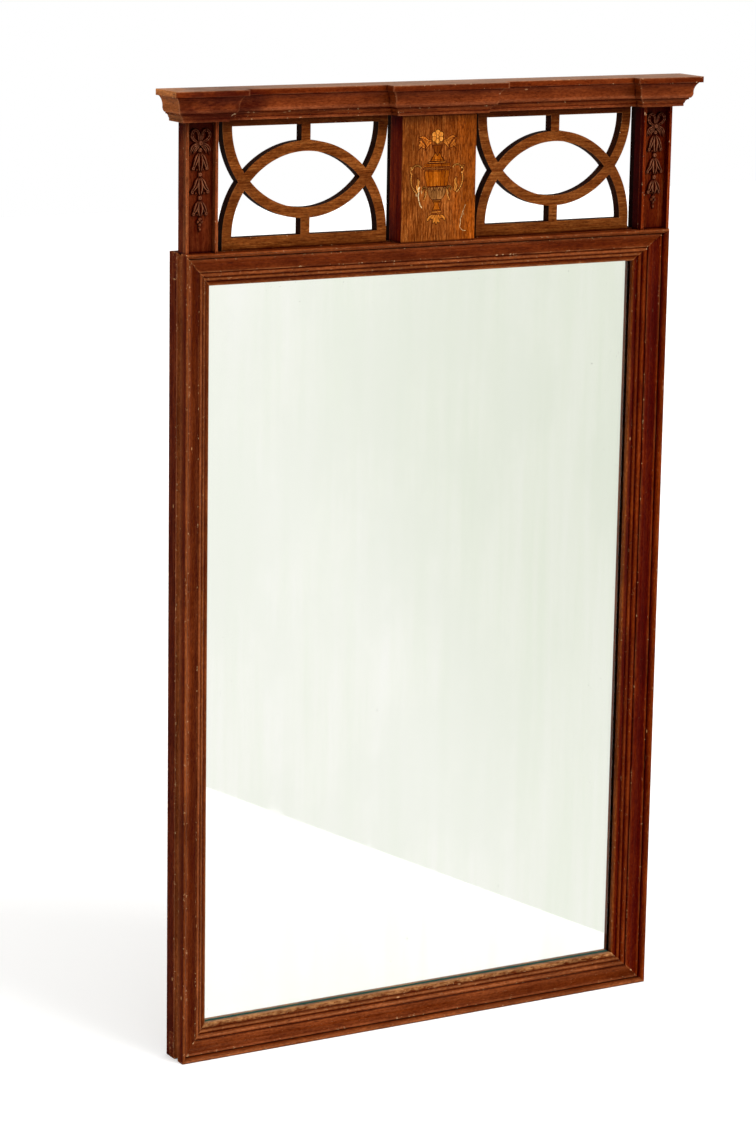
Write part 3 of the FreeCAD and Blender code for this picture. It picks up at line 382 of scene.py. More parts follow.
# Colours, each with its place in millimetres: across the section from the sight edge, and down
# the outer edge from the front. Besides the wood's tones they carry painted highlights on the
# crests and painted shade in the quirks. The hollow field runs from FIELD_START to FIELD_END.
LIT_SECTION = ((0, (158, 106, 68)), (1.2, (126, 74, 40)), (2.6, (98, 48, 18)), (4.8, (80, 34, 10)),
           (5.6, (44, 14, 3)), (6.6, (104, 52, 23)), (8.1, (132, 78, 45)), (9.8, (100, 48, 18)),
           (10.7, (42, 13, 2)), (11.8, (112, 54, 24)), (13.8, (148, 84, 48)),
           (15.6, (116, 56, 26)), (16.9, (38, 10, 1)), (18.4, (118, 57, 26)),
           (20.6, (112, 52, 21)), (25.0, (98, 42, 13)), (30.0, (100, 45, 18)),
           (32.2, (136, 70, 40)), (33.7, (40, 11, 2)), (35.0, (108, 52, 22)),
           (37.6, (142, 78, 42)), (40.0, (112, 54, 24)))
LIT_OUTER_EDGE = ((0, (126, 64, 32)), (2.2, (82, 24, 4)), (8.0, (98, 42, 12)), (14.5, (126, 68, 36)),
              (18.0, (92, 40, 14)), (20.5, (76, 26, 6)), (24.5, (132, 72, 42)),
              (26.0, (100, 48, 20)))
FACE_WIDTH, FACE_DEPTH = LIT_SECTION[-1][0], LIT_OUTER_EDGE[-1][0]
FIELD_START, FIELD_END = 17.5, 30.5
face_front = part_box("face_moulding_top")[0].y


def moulding_tint(way, sight, tone_and_shade, field_light_and_shade, gilt_lip_and_glow):
    """Colours across the section, from the sight edge outwards in millimetres, and down the outer
    edge from front to back, with their painted highlights and painted shade. The field is painted
    lighter at one side and darker at the other, as painted light and shade. At the foot the lip is
    worn to its ground, and a painted green glow on the moulding at the plate's edge stands in for
    light through the glass."""
    def stops(table, width):
        for spot, shade in table:
            share = 1.0
            # Painted light and shade: the field is lightened or darkened from one side to the
            # other.
            if FIELD_START < spot < FIELD_END < width:
                along = (spot - FIELD_START) / (FIELD_END - FIELD_START)
                share = field_light_and_shade[0] + (field_light_and_shade[1] - field_light_and_shade[0]) * along
            yield spot / width, seen(*[part * part_cast * share
                                       for part, part_cast in zip(shade, tone_and_shade)])

    def tint(made, colour):
        place_on = made.axis(way)
        outwards = made.times(made.minus(place_on, sight[0]), sight[1] * 1000 / FACE_WIDTH)
        colour = made.blend(0.8, colour, made.shades(outwards, *stops(LIT_SECTION, FACE_WIDTH)))
        backwards = made.sum("DIVIDE", made.minus(made.axis("Y"), face_front), FACE_DEPTH / 1000)
        outer = made.times(made.between(outwards, 0.985, 0.995),
                           made.between(made.facing(way), 0.8, 0.95, 0.0, 0.85))
        colour = made.blend(outer, colour, made.shades(backwards, *stops(LIT_OUTER_EDGE, FACE_DEPTH)))
        if gilt_lip_and_glow:
            lip = made.times(made.between(outwards, 0.15, 0.06),
                             made.between(made.clouds((9, 4, 4), 4.0, 0.65, 3.0), 0.38, 0.60))
            colour = made.blend(made.times(lip, gilt_lip_and_glow), colour, seen(188, 130, 80))
            # Painted glow: a thin band of the moulding at the plate's edge gives off its own green
            # light.
            made.look("Emission Color", (0.03, 0.24, 0.21, 1))
            edge = plate_low.y - 0.0001
            made.look("Emission Strength",
                      made.times(made.ramp("Y", edge - 0.0003, edge, 0.0, 0.3),
                                 made.between(made.facing("Y"), 0.9, 0.98)))
        return colour
    return tint


face_tones = dict(dark=(66, 25, 9), middle=(106, 48, 20), light=(142, 76, 40), wear=0.55,
                  chips=0.7, shine=0.40)
# The right moulding is darker and redder, partly its tone and partly painted shade.
right_tones_and_shade = dict(face_tones, dark=(54, 12, 2), middle=(88, 28, 6), light=(116, 48, 16))
bottom_tones = dict(face_tones, dark=(72, 30, 12), middle=(110, 54, 25), light=(146, 84, 48))
# Each side's colours are scaled, at the right partly as painted shade.
for shift, (side, grain, way, outwards, tones, tone_and_shade, field_light_and_shade, gilt_lip_and_glow) in enumerate((
        ("left", "Z", "X", -1, face_tones, (0.94, 0.92, 0.88), (0.52, 0.98), 0.0),
        ("top", "X", "Z", 1, face_tones, (1.0, 0.94, 0.84), (0.74, 1.14), 0.0),
        ("right", "Z", "X", 1, right_tones_and_shade, (0.86, 0.66, 0.42), (1.0, 0.74), 0.0),
        ("bottom", "X", "Z", -1, bottom_tones, (1.0, 1.0, 1.0), (0.98, 0.9), 0.75)), 31):
    low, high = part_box(f"face_moulding_{side}")
    sight = getattr(low if outwards > 0 else high, way.lower())
    tint = moulding_tint(way, (sight, outwards), tone_and_shade, field_light_and_shade, gilt_lip_and_glow)
    dress(f"face_moulding_{side}", wood(f"{side} moulding", grain, shift=shift, tint=tint,
                                        **tones), eased=0.4)


# Screws and hangers on the back: countersunk steel screws through the back frame, and two brass
# strap hangers, each rolled round the bar of a ring that swings on it.

dress("back_frame_screws hanger_screws", steel)
brass = metal("dull brass", (186, 150, 84), (118, 88, 46), 0.34, 2.0)
dress("hanger_strap_left hanger_strap_right", brass, eased=0.15)
dress("hanger_ring_left hanger_ring_right", brass)


# Crest battens, grounds and dowels: upright softwood boards let into the top rail behind the
# crest, with packing strips between them and the pilasters. They are coloured nearly black.

batten_tones = dict(dark=(18, 24, 15), middle=(30, 28, 18), light=(50, 34, 21), wear=0.0,
                    grime_and_shade=0.6, shine=0.7)
dress("batten_left batten_centre batten_right ground_left ground_right",
      wood("near-black battens", "Z", shift=41.0, **batten_tones), eased=0.4)
dress("crest_dowels", wood("bare dowels", "Z", (150, 112, 70), (176, 138, 92), (196, 160, 112),
                           wear=0.1, chips=0, grime_and_shade=0.3, shine=0.7, shift=42.0))


# Pilasters: a sunk panel on each side of the crest with a raised strip planted along each edge.
# The strips are rubbed to bright orange-red along their arrises.

crest_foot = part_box("pilaster_left_board")[0].z
cornice_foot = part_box("cornice_centre")[0].z


def crest_shade_and_grime(made, colour):
    """Painted shade: darker towards the top, where the cornice overhangs, and along the joint at
    the foot, where it is partly grime and partly painted shadow.
    """
    joint = made.ramp("Z", crest_foot + 0.0032, crest_foot + 0.0008, 0.0, 0.85)
    shade = made.ramp("Z", cornice_foot - 0.036, cornice_foot + 0.004, 0.0, 0.72)
    return made.blend(shade, made.blend(joint, colour, seen(30, 9, 4)), seen(34, 12, 6))


def turned_away(made, colour):
    """The sides of the right pilaster, which face away from the light, are dark and red."""
    return made.blend(made.between(made.facing("X"), 0.5, 0.9, 0.0, 0.75),
                      crest_shade_and_grime(made, colour), seen(44, 10, 3))


panel_tones = dict(dark=(56, 19, 8), middle=(92, 40, 18), light=(116, 60, 30), streaky=0.5,
                   wear=0.0)
strip_tones = dict(dark=(78, 34, 14), middle=(120, 63, 33), light=(152, 88, 50), streaky=0.9,
                   worn=(204, 92, 44), wear=0.7, chips=0.3, grime_and_shade=0.7)
for side, shift, tint, panel, strips in (
        ("left", 51, crest_shade_and_grime, {}, {}),
        ("right", 52, turned_away, dict(middle=(84, 32, 11)),
         dict(dark=(62, 16, 4), middle=(106, 40, 13), light=(150, 66, 26)))):
    dress(f"pilaster_{side}_board", wood(f"{side} panel", "Z", shift=shift, tint=tint,
                                         **dict(panel_tones, **panel)))
    dress(f"pilaster_{side}_strips", wood(f"{side} strips", "Z", shift=shift + 2, tint=tint,
                                          **dict(strip_tones, **strips)), eased=0.3)


# Carved drops: a ribbon bow over three husks and a tail of beads, carved in half relief and
# glued to each panel. Leaf ribs and rims are paler, partly rubbed wear and partly painted
# highlight, and painted shade makes the hollows nearly black.

panel_low, panel_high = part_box("pilaster_right_board")
drop_middle = (panel_low.x + panel_high.x) / 2
panel_face = panel_low.y
KNOT = 143.0


def spline(points, steps):
    """Points in even steps along a smooth line through some places."""
    ends = [points[0]] + list(points) + [points[-1]]
    line = []
    spans = len(points) - 1
    for step in range(steps + 1):
        far = step * spans / steps
        span = min(int(far), spans - 1)
        t = far - span
        a, b, c, d = ends[span:span + 4]
        line.append([0.5 * (2 * q + (r - p) * t + (2 * p - 5 * q + 4 * r - s) * t * t
                            + (3 * q - p - 3 * r + s) * t ** 3)
                     for p, q, r, s in zip(a, b, c, d)])
    return line


def set_up(name, data, material):
    """A finished mesh as an object of its own."""
    data.materials.append(material)
    piece = bpy.data.objects.new(name, data)
    bpy.context.scene.collection.objects.link(piece)
    return piece


class Carving:
    """Relief built up on a panel in millimetres across, up and out from the panel's face."""

    def __init__(self, middle):
        self.mesh = bmesh.new()
        self.middle = middle

    def point(self, across, up, out):
        return self.mesh.verts.new((self.middle + across / 1000, panel_face - out / 1000,
                                    up / 1000))

    def skin(self, rows, closed=False):
        """Faces between rows of points, joined up end to end where they are closed."""
        for one, two in zip(rows, rows[1:]):
            for index in range(len(one) - 1):
                self.mesh.faces.new((one[index], one[index + 1], two[index + 1], two[index]))
            if closed:
                self.mesh.faces.new((one[-1], one[0], two[0], two[-1]))

    def petal(self, line, groove=0.45, steps=16, ribs=10, wide=0.22, folds=0):
        """A leaf or ribbon along a line of (across, up, half width, rise)."""
        line = spline(line, steps)
        rows = []
        for index, (across, up, half, rise) in enumerate(line):
            before, after = line[max(index - 1, 0)], line[min(index + 1, steps)]
            run, lift = after[0] - before[0], after[1] - before[1]
            size = math.hypot(run, lift) or 1.0
            rise *= 1.2 - 0.26 * (0.5 - 0.5 * math.cos(math.tau * folds * index / steps))
            row = []
            for rib in range(ribs + 1):
                side = 2 * rib / ribs - 1
                shape = max(1 - abs(side) ** 2.6, 0.0) ** 0.55
                shape *= 1 - groove * math.exp(-(side / wide) ** 2)
                row.append(self.point(across - lift / size * half * side,
                                      up + run / size * half * side,
                                      rise * shape - 0.3 * (abs(side) == 1)))
            rows.append(row)
        self.skin(rows)

    def button(self, across, up, radius, rise, dimple=0.0, turns=18):
        """A round bead, with a dimple in its top where it is a curled tip."""
        rows = []
        for share in (0.02, 0.25, 0.45, 0.65, 0.82, 0.94, 1.0, 1.02):
            height = rise * (max(1 - min(share, 1) ** 2, 0) ** 0.5
                             - dimple * math.exp(-(share / 0.3) ** 2))
            rows.append([self.point(across + radius * share * math.cos(math.tau * turn / turns),
                                    up + radius * share * math.sin(math.tau * turn / turns),
                                    height if share < 1.01 else -0.3)
                         for turn in range(turns)])
        self.skin(rows, closed=True)
        self.mesh.faces.new(rows[0])

    def husk(self, top, width, length, tip_up):
        """Three leaves under a bead: a hollowed middle one, and two flaring into curled tips."""
        for hand in (-1, 1):
            self.petal([(hand * 0.6, top, 2.0, 1.6), (hand * 3.8, top - 5, 3.4, 3.6),
                        (hand * 6.2, top - 10.5, 3.0, 4.0),
                        (hand * (width - 2.8), tip_up + 2.6, 2.1, 3.6),
                        (hand * (width - 0.6), tip_up - 0.4, 1.5, 2.6)], 0.5, wide=0.3)
            self.button(hand * (width - 1.9), tip_up + 0.2, 2.6, 4.2, 0.5)
            self.button(hand * (width - 6.8), top - length + 3.6, 1.6, 2.8)
        self.petal([(0, top + 0.4, 1.6, 2.0), (0, top - 5, 3.7, 4.8), (0, top - 11, 4.2, 5.4),
                    (0, top - length + 4, 2.4, 4.4), (0, top - length, 0.4, 1.4)],
                   0.72, 18, 12, 0.42)

    def finish(self, name, node, material):
        """Makes the relief a smooth piece of the mirror that stands for a node of the frame."""
        bmesh.ops.recalc_face_normals(self.mesh, faces=self.mesh.faces)
        data = bpy.data.meshes.new(name)
        self.mesh.to_mesh(data)
        self.mesh.free()
        data.polygons.foreach_set("use_smooth", [True] * len(data.polygons))
        piece = set_up(name, data, material)
        smooth = piece.modifiers.new("rounder", "SUBSURF")
        smooth.levels = smooth.render_levels = 1
        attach(piece, "mirror")
        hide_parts(node)


def carved_drop(side, hand, material):
    """One whole drop: ribbon loops, ribbon ends, knot, husks, and a tail of beads and a point."""
    work = Carving(drop_middle * hand)
    for turn in (-1, 1):
        work.petal([(turn * 1.0, KNOT + 0.6, 1.5, 2.4), (turn * 1.9, KNOT + 6.5, 1.9, 4.4),
                    (turn * 3.0, KNOT + 11.8, 2.0, 5.0), (turn * 6.2, KNOT + 15.0, 2.1, 5.2),
                    (turn * 10.0, KNOT + 13.4, 2.3, 5.4), (turn * 11.6, KNOT + 9.0, 2.4, 5.4),
                    (turn * 9.2, KNOT + 4.6, 2.2, 4.6), (turn * 4.8, KNOT + 1.8, 1.8, 3.4),
                    (turn * 1.0, KNOT + 0.2, 1.4, 2.4)], 0.30, 40, 8, 0.3, folds=9)
        work.petal([(turn * 1.6, KNOT - 0.6, 1.6, 3.0), (turn * 5.6, KNOT - 1.8, 2.2, 4.4),
                    (turn * 9.6, KNOT - 4.2, 2.6, 4.2), (turn * 12.0, KNOT - 9.0, 2.2, 3.4),
                    (turn * 12.6, KNOT - 13.4, 1.3, 2.0)], 0.35, 20, 8, 0.3, folds=3)
        work.petal([(turn * 1.0, KNOT - 1.6, 1.3, 2.6), (turn * 3.8, KNOT - 4.8, 2.0, 3.8),
                    (turn * 7.0, KNOT - 8.0, 2.1, 3.4), (turn * 8.2, KNOT - 12.2, 1.0, 1.8)],
                   0.35, 16, 8, 0.3)
    work.petal([(0, KNOT + 1, 1.2, 2.6), (0, KNOT + 6, 1.5, 3.6), (0.3, KNOT + 10.5, 1.2, 2.6)],
               0.3, 10, 6)
    work.button(0, KNOT, 3.5, 5.4, 0.25)
    for top, width, length, tip_up in ((131.5, 10.6, 22.5, 114.0), (103.5, 12.0, 21.5, 86.8),
                                       (76.5, 10.0, 19.0, 61.6)):
        work.button(0, top + 3.6, 3.1, 4.6, 0.3)
        work.husk(top, width, length, tip_up)
    for across, up, radius in ((0, 55.3, 2.6), (-2.3, 52.4, 2.2), (2.3, 52.2, 2.2),
                               (0, 49.2, 2.3), (-0.6, 45.8, 1.8)):
        work.button(across, up, radius, radius * 1.6)
    work.petal([(0, 46.0, 0.9, 1.6), (0, 43.6, 1.9, 2.8), (0, 40.4, 0.3, 0.8)], 0.0, 8, 6)
    work.finish(f"carved_drop_{side}", f"carving_{side}", material)


def creased(made, low, high):
    """Runs from 0 to 1 as the surface goes from a groove to a ridge."""
    return made.between(made.node("NewGeometry").outputs["Pointiness"], low, high)


def carved_shading(made, colour):
    """Crowns a dull pinkish brown, partly rubbed wear and partly painted highlight; painted shade
    makes the creases and the ground beside them nearly black, under the cornice's painted shade.
    """
    height = made.times(made.minus(panel_face, made.axis("Y")), 1000)
    colour = made.blend(made.between(height, 2.4, 0.4, 0.0, 0.85), colour, seen(20, 6, 3))
    colour = made.blend(creased(made, 0.500, 0.455), colour, seen(24, 7, 3))
    colour = made.blend(made.times(creased(made, 0.505, 0.545),
                                   made.between(height, 1.2, 4.4, 0.0, 0.55)), colour,
                        seen(160, 104, 74))
    return crest_shade_and_grime(made, colour)


carved_tones = dict(dark=(42, 15, 6), middle=(76, 34, 16), light=(116, 60, 34), wear=0.0,
                    grime_and_shade=0.9, shine=0.34, tint=carved_shading)
for side, hand, shift in ("left", -1, 55), ("right", 1, 56):
    carved_drop(side, hand, wood(f"{side} carving", "Z", shift=shift, **carved_tones))


# Frets: each is one board sawn into two interlaced half rings between rails. The faces are warm
# brown with the grain running across, and the sawn inner edges are darkened nearly black.

def sawn_edges(made, colour):
    """Darkens everything that doesn't face forwards, over the painted shade under the cornice."""
    side = made.between(made.facing("Y"), 0.75, 0.35)
    return made.blend(made.times(side, 0.92), crest_shade_and_grime(made, colour), seen(20, 24, 15))


fret_tones = dict(dark=(76, 36, 12), middle=(112, 58, 22), light=(142, 84, 38), streaky=0.7,
                  fineness=0.7, worn=(176, 108, 58), wear=0.35, chips=0.1, grime_and_shade=0.6, shine=0.4,
                  tint=sawn_edges)
for side, shift in ("left", 61), ("right", 62):
    dress(f"fret_{side}", wood(f"{side} fret", "X", shift=shift, **fret_tones), eased=0.3)


# Tablet: a thick block with a light veneer glued to its front, grain upright. The veneer has lost
# small flakes at the left and is scratched low on the right.

dress("tablet_block", wood("tablet block", "Z", (66, 15, 3), (106, 33, 7), (136, 54, 18),
                           worn=(190, 96, 52), wear=0.6, chips=0.2, shift=71.0,
                           tint=crest_shade_and_grime))


def veneer_marks_and_shade(made, colour):
    """Painted shadow of the cornice darkens its top, and its joints are darker, partly grime and
    partly painted shadow; warmer at the right, with small dark rays.
    """
    top = made.ramp("Z", cornice_foot - 0.058, cornice_foot, 0.0, 0.38)
    colour = made.blend(top, colour, seen(88, 40, 16))
    colour = made.blend(made.ramp("X", 0.004, 0.046, 0.0, 0.40), colour, seen(172, 76, 6))
    rays = made.between(made.clouds((1.5, 1.5, 10.0), 4.0, 0.7, 8.0), 0.48, 0.61, 0.0, 0.72)
    colour = made.blend(rays, colour, seen(66, 28, 9))
    joint = made.larger(made.ramp("Z", crest_foot + 0.0026, crest_foot + 0.0006),
                        made.ramp("Z", cornice_foot - 0.004, cornice_foot - 0.001))
    return made.blend(made.times(joint, 0.85), colour, seen(30, 12, 6))


dress("tablet_veneer", wood("upright veneer", "Z", (92, 42, 12), (144, 73, 25), (176, 102, 46),
                            streaky=0.9, fineness=0.85, wear=0.0, grime_and_shade=0.4, shine=0.36,
                            shift=72.0, tint=veneer_marks_and_shade))


# Marquetry: an urn of flowers between scrolls, let into the veneer in pale and orange woods.
# Every piece is rimmed by a thin dark line of glue and scorched wood.

# The middle of the pattern, the top and foot of the bowl's leaves, in millimetres across and up,
# and how far a thin line stands before the face, in metres.
PATTERN = (-2.8, 93.0)
BOWL_TOP, BOWL_FOOT = 81.7, 65.3
HAIR = 0.00003


def inlay(name, dark, middle, light, shift, tint=None):
    return wood(name, "Z", dark, middle, light, streaky=0.8, fineness=0.6, wear=0.0, grime_and_shade=0.0,
                shine=0.36, shift=shift, tint=tint)


def shaded_urn(made, colour):
    """Scorched darker at both sides, so that the urn looks round."""
    aside = made.unsigned(made.plus(made.axis("X"), 0.0012))
    return made.blend(made.between(aside, 0.006, 0.018, 0.0, 0.35), colour, seen(126, 54, 8))


def dark_leaf(made, colour):
    """The leaf that points down from the flower is of a much darker wood."""
    aside = made.unsigned(made.minus(made.axis("X"), PATTERN[0] / 1000))
    return made.blend(made.between(aside, 0.0076, 0.0070, 0.0, 0.85), colour, seen(78, 28, 4))


def greyed_bowl(made, colour):
    """The leaves under the bowl are in a greyer wood than the bands."""
    up = made.times(made.axis("Z"), 1000)
    within = made.times(made.between(up, BOWL_TOP + 0.3, BOWL_TOP - 0.3),
                        made.between(up, BOWL_FOOT - 0.3, BOWL_FOOT + 0.3))
    return made.blend(made.times(within, 0.8), colour, seen(128, 86, 46))


dress("inlay_urn", inlay("orange urn wood", (120, 52, 7), (160, 78, 14), (192, 108, 34), 73.0,
                         shaded_urn))
dress("inlay_palmette", inlay("orange palmette wood", (158, 80, 20), (196, 110, 36),
                              (224, 142, 62), 74.0))
dress("inlay_urn_bands", inlay("pale band wood", (136, 66, 14), (172, 92, 28), (200, 122, 50),
                               75.0, greyed_bowl))
dress("inlay_scrolls", inlay("pale scroll wood", (170, 90, 26), (212, 128, 50), (240, 168, 88),
                             76.0))
dress("inlay_flowers", inlay("flower wood", (160, 80, 20), (200, 116, 40), (236, 158, 76), 77.0))
dress("inlay_leaves", inlay("leaf wood", (138, 62, 12), (180, 92, 28), (216, 132, 54), 78.0,
                            dark_leaf))


def ribbon(mesh, points, front, half):
    """A thin flat ribbon through points in metres across and up, a hair in front of the face."""
    for one, two in zip(points, points[1:]):
        run, rise = two[0] - one[0], two[1] - one[1]
        length = math.hypot(run, rise)
        if length < 1e-7:
            continue
        side = (-rise / length * half, run / length * half)
        over = (run / length * half * 0.6, rise / length * half * 0.6)
        mesh.faces.new([mesh.verts.new((end[0] + on * over[0] + aside * side[0], front - HAIR,
                                        end[1] + on * over[1] + aside * side[1]))
                        for end, on, aside in ((one, -1, 1), (two, 1, 1), (two, 1, -1),
                                               (one, -1, -1))])


def rim_lines(mesh, names, half):
    """Ribbons along the edges that each let-in piece shows on the veneer's face."""
    for name in names.split():
        data = nodes[name].data
        front = min(corner.co.y for corner in data.vertices)
        sides = {}
        for face in data.polygons:
            corners = [data.vertices[index].co for index in face.vertices]
            if any(corner.y > front + 0.00002 for corner in corners):
                continue
            ring = [(round(corner.x, 6), round(corner.z, 6)) for corner in corners]
            for one, two in zip(ring, ring[1:] + ring[:1]):
                key = (min(one, two), max(one, two))
                sides[key] = sides.get(key, 0) + 1
        for ends, count in sides.items():
            if count == 1:
                ribbon(mesh, ends, front, half)


def arc(middle, radius, first, last):
    """Twelve spans of an arc, in degrees from the level."""
    ways = [math.radians(first + (last - first) * step / 12) for step in range(13)]
    return [(middle[0] + radius * math.cos(way), middle[1] + radius * math.sin(way))
            for way in ways]


def engraved_lines():
    """Lines scorched into the pattern, in millimetres across and up from its middle."""
    lines = [arc((0, 48), 2.1, 0, 360), [(-9.4, 20.8), (9.4, 20.8)],
             [(-17.6, 14.3), (17.6, 14.3)], [(-16.4, 7.0), (16.4, 7.0)],
             [(-4.2, -30.4), (4.2, -30.4)], [(0, -45), (0, -54)], [(0, -9.5), (0, -26)],
             [(0, 29), (0, 36)]]
    for petal in range(6):
        way = math.tau * petal / 6
        lines.append([(2.4 * math.cos(way), 48 + 2.4 * math.sin(way)),
                      (6.4 * math.cos(way), 48 + 6.4 * math.sin(way))])
    for hand in (-1, 1):
        for line in (
            [(8.8, 42.3), (14, 43.4), (20, 46.2), (25.6, 47.3)],
            [(12, 42.6), (15, 38.0), (17.0, 33.4)], [(14, 43.4), (16.5, 41.6)],
            [(17.6, 36.4), (21, 38.6), (25, 42.8)], [(19.5, 37.8), (23, 36.2), (25.8, 33.2)],
            [(9.0, 20.8), (5.4, 25.4), (2.2, 29.6)], [(4.4, 19.2), (3.0, 27)],
            [(11.6, 6.6), (10.6, -10.6)], [(5.8, 6.6), (5.2, -10.6)],
            [(0, -9.2), (1.4, -13.0), (2.6, -16.4), (4.2, -12.6), (5.6, -15.8), (7.4, -18.0),
             (9.0, -12.2), (10.8, -14.6)],
            [(4.2, -13.4), (3.4, -24.5)], [(9.0, -13.0), (6.4, -22.5)],
            [(1.4, -45), (4.9, -52.8)], [(3.8, -45.2), (11.2, -50.8)],
            [(25.2, -16.4), (26.8, -9.5), (25.6, -3.0)], [(35.2, 9.0), (36.4, 12.4)],
        ):
            lines.append([(across * hand, up) for across, up in line])
    return lines


def pale_lines():
    """Pale strings down the middle of the handles and scrolls, and to each handle's tip."""
    for hand in (-1, 1):
        for half, line in ((0.64, arc((27.8, 7.9), 6.8, 17, 148)),
                           (0.70, arc((15.2, -2.0), 20.6, -52, 20)),
                           (0.70, arc((17.2, -15.0), 3.0, -50, 190)),
                           (0.60, spline([(14.3, -15.6), (15.0, -21.0), (17.6, -27.6)], 6)),
                           (0.45, spline([(35.0, 9.8), (36.9, 8.6), (36.0, 5.2)], 6))):
            yield half, [(across * hand, up) for across, up in line]


def lost_flakes():
    """Where splinters of veneer are gone: ragged marks at the left, a broken score low right.
    Each is (half width, points), in millimetres from the middle of the pattern."""
    return ((0.9, [(-24.0, -11.4), (-25.6, -14.0)]), (0.5, [(-25.6, -14.0), (-24.9, -17.4)]),
            (0.9, [(-25.1, -18.8), (-25.6, -21.2)]), (0.6, [(-25.6, -21.6), (-24.4, -27.4)]),
            (0.6, [(-24.0, -29.0), (-22.6, -33.0), (-20.4, -35.6)]),
            (0.3, [(-21.6, -15.4), (-21.0, -19.0)]), (0.35, [(-28.6, -19.0), (-28.2, -21.6)]),
            (0.25, [(40.4, -34.6), (38.2, -39.8)]), (0.4, [(37.8, -40.8), (36.3, -43.4)]),
            (0.3, [(36.2, -44.2), (35.8, -47.6), (34.2, -50.2)]),
            (0.5, [(33.7, -51.2), (34.0, -54.4)]), (0.35, [(34.1, -55.6), (32.8, -60.3)]),
            (0.28, [(33.2, -61.2), (35.2, -63.4), (37.4, -65.3)]),
            (0.2, [(38.6, -65.5), (41.5, -65.6)]), (0.2, [(37.6, -44.0), (38.8, -46.8)]))


def line_piece(name, lines, lift, material, mesh=None):
    """Flat ribbons on the veneer's face, from (half width, points) in millimetres."""
    mesh = mesh or bmesh.new()
    front = min(corner.co.y for corner in nodes["tablet_veneer"].data.vertices)
    for half, line in lines:
        ribbon(mesh, [((PATTERN[0] + across) / 1000, (PATTERN[1] + up) / 1000)
                      for across, up in line], front - lift, half / 1000)
    data = bpy.data.meshes.new(name)
    mesh.to_mesh(data)
    mesh.free()
    piece = set_up(name, data, material)
    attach(piece, "mirror")


rims = bmesh.new()
rim_lines(rims, "inlay_urn inlay_palmette inlay_urn_bands inlay_scrolls inlay_flowers "
          "inlay_leaves", half=0.00036)
line_piece("inlay_rims", [(0.28, line) for line in engraved_lines()], 0.00001,
           inlay("scorched rims", (30, 12, 4), (56, 24, 6), (88, 42, 14), 79.0), rims)
line_piece("inlay_strings", pale_lines(), 0.00003,
           inlay("pale strings", (184, 98, 30), (226, 138, 58), (248, 178, 98), 80.0))
line_piece("veneer_losses", lost_flakes(), 0.00005,
           inlay("bare flakes", (206, 144, 84), (236, 188, 128), (250, 218, 168), 81.0))


# Cornice: a core board with eleven mitred lengths of moulding planted round its front and ends.
# Its flat top is dusty. Its left break is stained darker, beside a return painted brighter, as
# painted light.

# Colours up the mouldings, each with its height in millimetres above their foot. Besides the
# wood's tones they carry painted shade in the quirks and painted light and shade across the
# hollows; the pale top is partly dust and wear, partly painted highlight.
LIT_CORNICE_BANDS = ((0, (122, 62, 32)), (2.6, (128, 64, 34)), (3.6, (70, 22, 4)),
                 (5.4, (114, 54, 23)), (7.6, (122, 60, 27)), (8.3, (34, 6, 0)),
                 (9.2, (34, 6, 0)), (10.4, (118, 58, 28)), (12.4, (152, 80, 46)),
                 (15.6, (126, 60, 28)), (23.0, (116, 52, 21)), (28.0, (100, 45, 22)),
                 (28.9, (34, 6, 0)), (29.8, (34, 6, 0)), (30.9, (90, 36, 12)),
                 (35.6, (102, 43, 15)), (36.6, (160, 104, 72)), (37.0, (170, 124, 98)))
# The left return's colours, painted brighter all through as painted light.
LIT_RETURN_BANDS = ((0, (132, 78, 40)), (7.6, (146, 88, 46)), (8.7, (70, 30, 10)),
                (10.4, (158, 88, 44)), (28.0, (164, 92, 46)), (29.3, (78, 34, 12)),
                (30.9, (186, 110, 58)), (37.0, (208, 130, 74)))


def banded(made, colour, bands):
    """Lays a table of colours over the wood, up the moulding."""
    height = bands[-1][0]
    up = made.times(made.minus(made.axis("Z"), cornice_foot), 1000 / height)
    return made.blend(0.7, colour, made.shades(up, *[(spot / height, seen(*shade))
                                                     for spot, shade in bands]))


def patch(made, middle, half):
    """One soft-edged patch on the front, about a spot in millimetres across and up."""
    across, up = [made.sum("DIVIDE", made.minus(made.axis(letter), spot / 1000), reach / 1000)
                  for letter, spot, reach in zip("XZ", middle, half)]
    spread = made.plus(made.times(across, across), made.times(up, up))
    return made.between(spread, 1.3, 0.5)


def cornice_tint(made, colour):
    """Stained darker over the left pilaster, with a chip out of the foot beside it."""
    stained = made.times(patch(made, (-296, 188), (66, 26)),
                         made.between(made.clouds((26, 26, 16), 4.0, 0.6, 8.0),
                                      0.34, 0.58, 0.4, 1))
    colour = made.blend(made.times(stained, 0.78), banded(made, colour, LIT_CORNICE_BANDS),
                        seen(56, 24, 14))
    return made.blend(patch(made, (-281, 175.0), (3.0, 2.6)), colour, seen(232, 186, 146))


def lit_return(made, colour):
    """The left return is painted a bright orange-brown all through, as painted light on it."""
    return banded(made, colour, LIT_RETURN_BANDS)


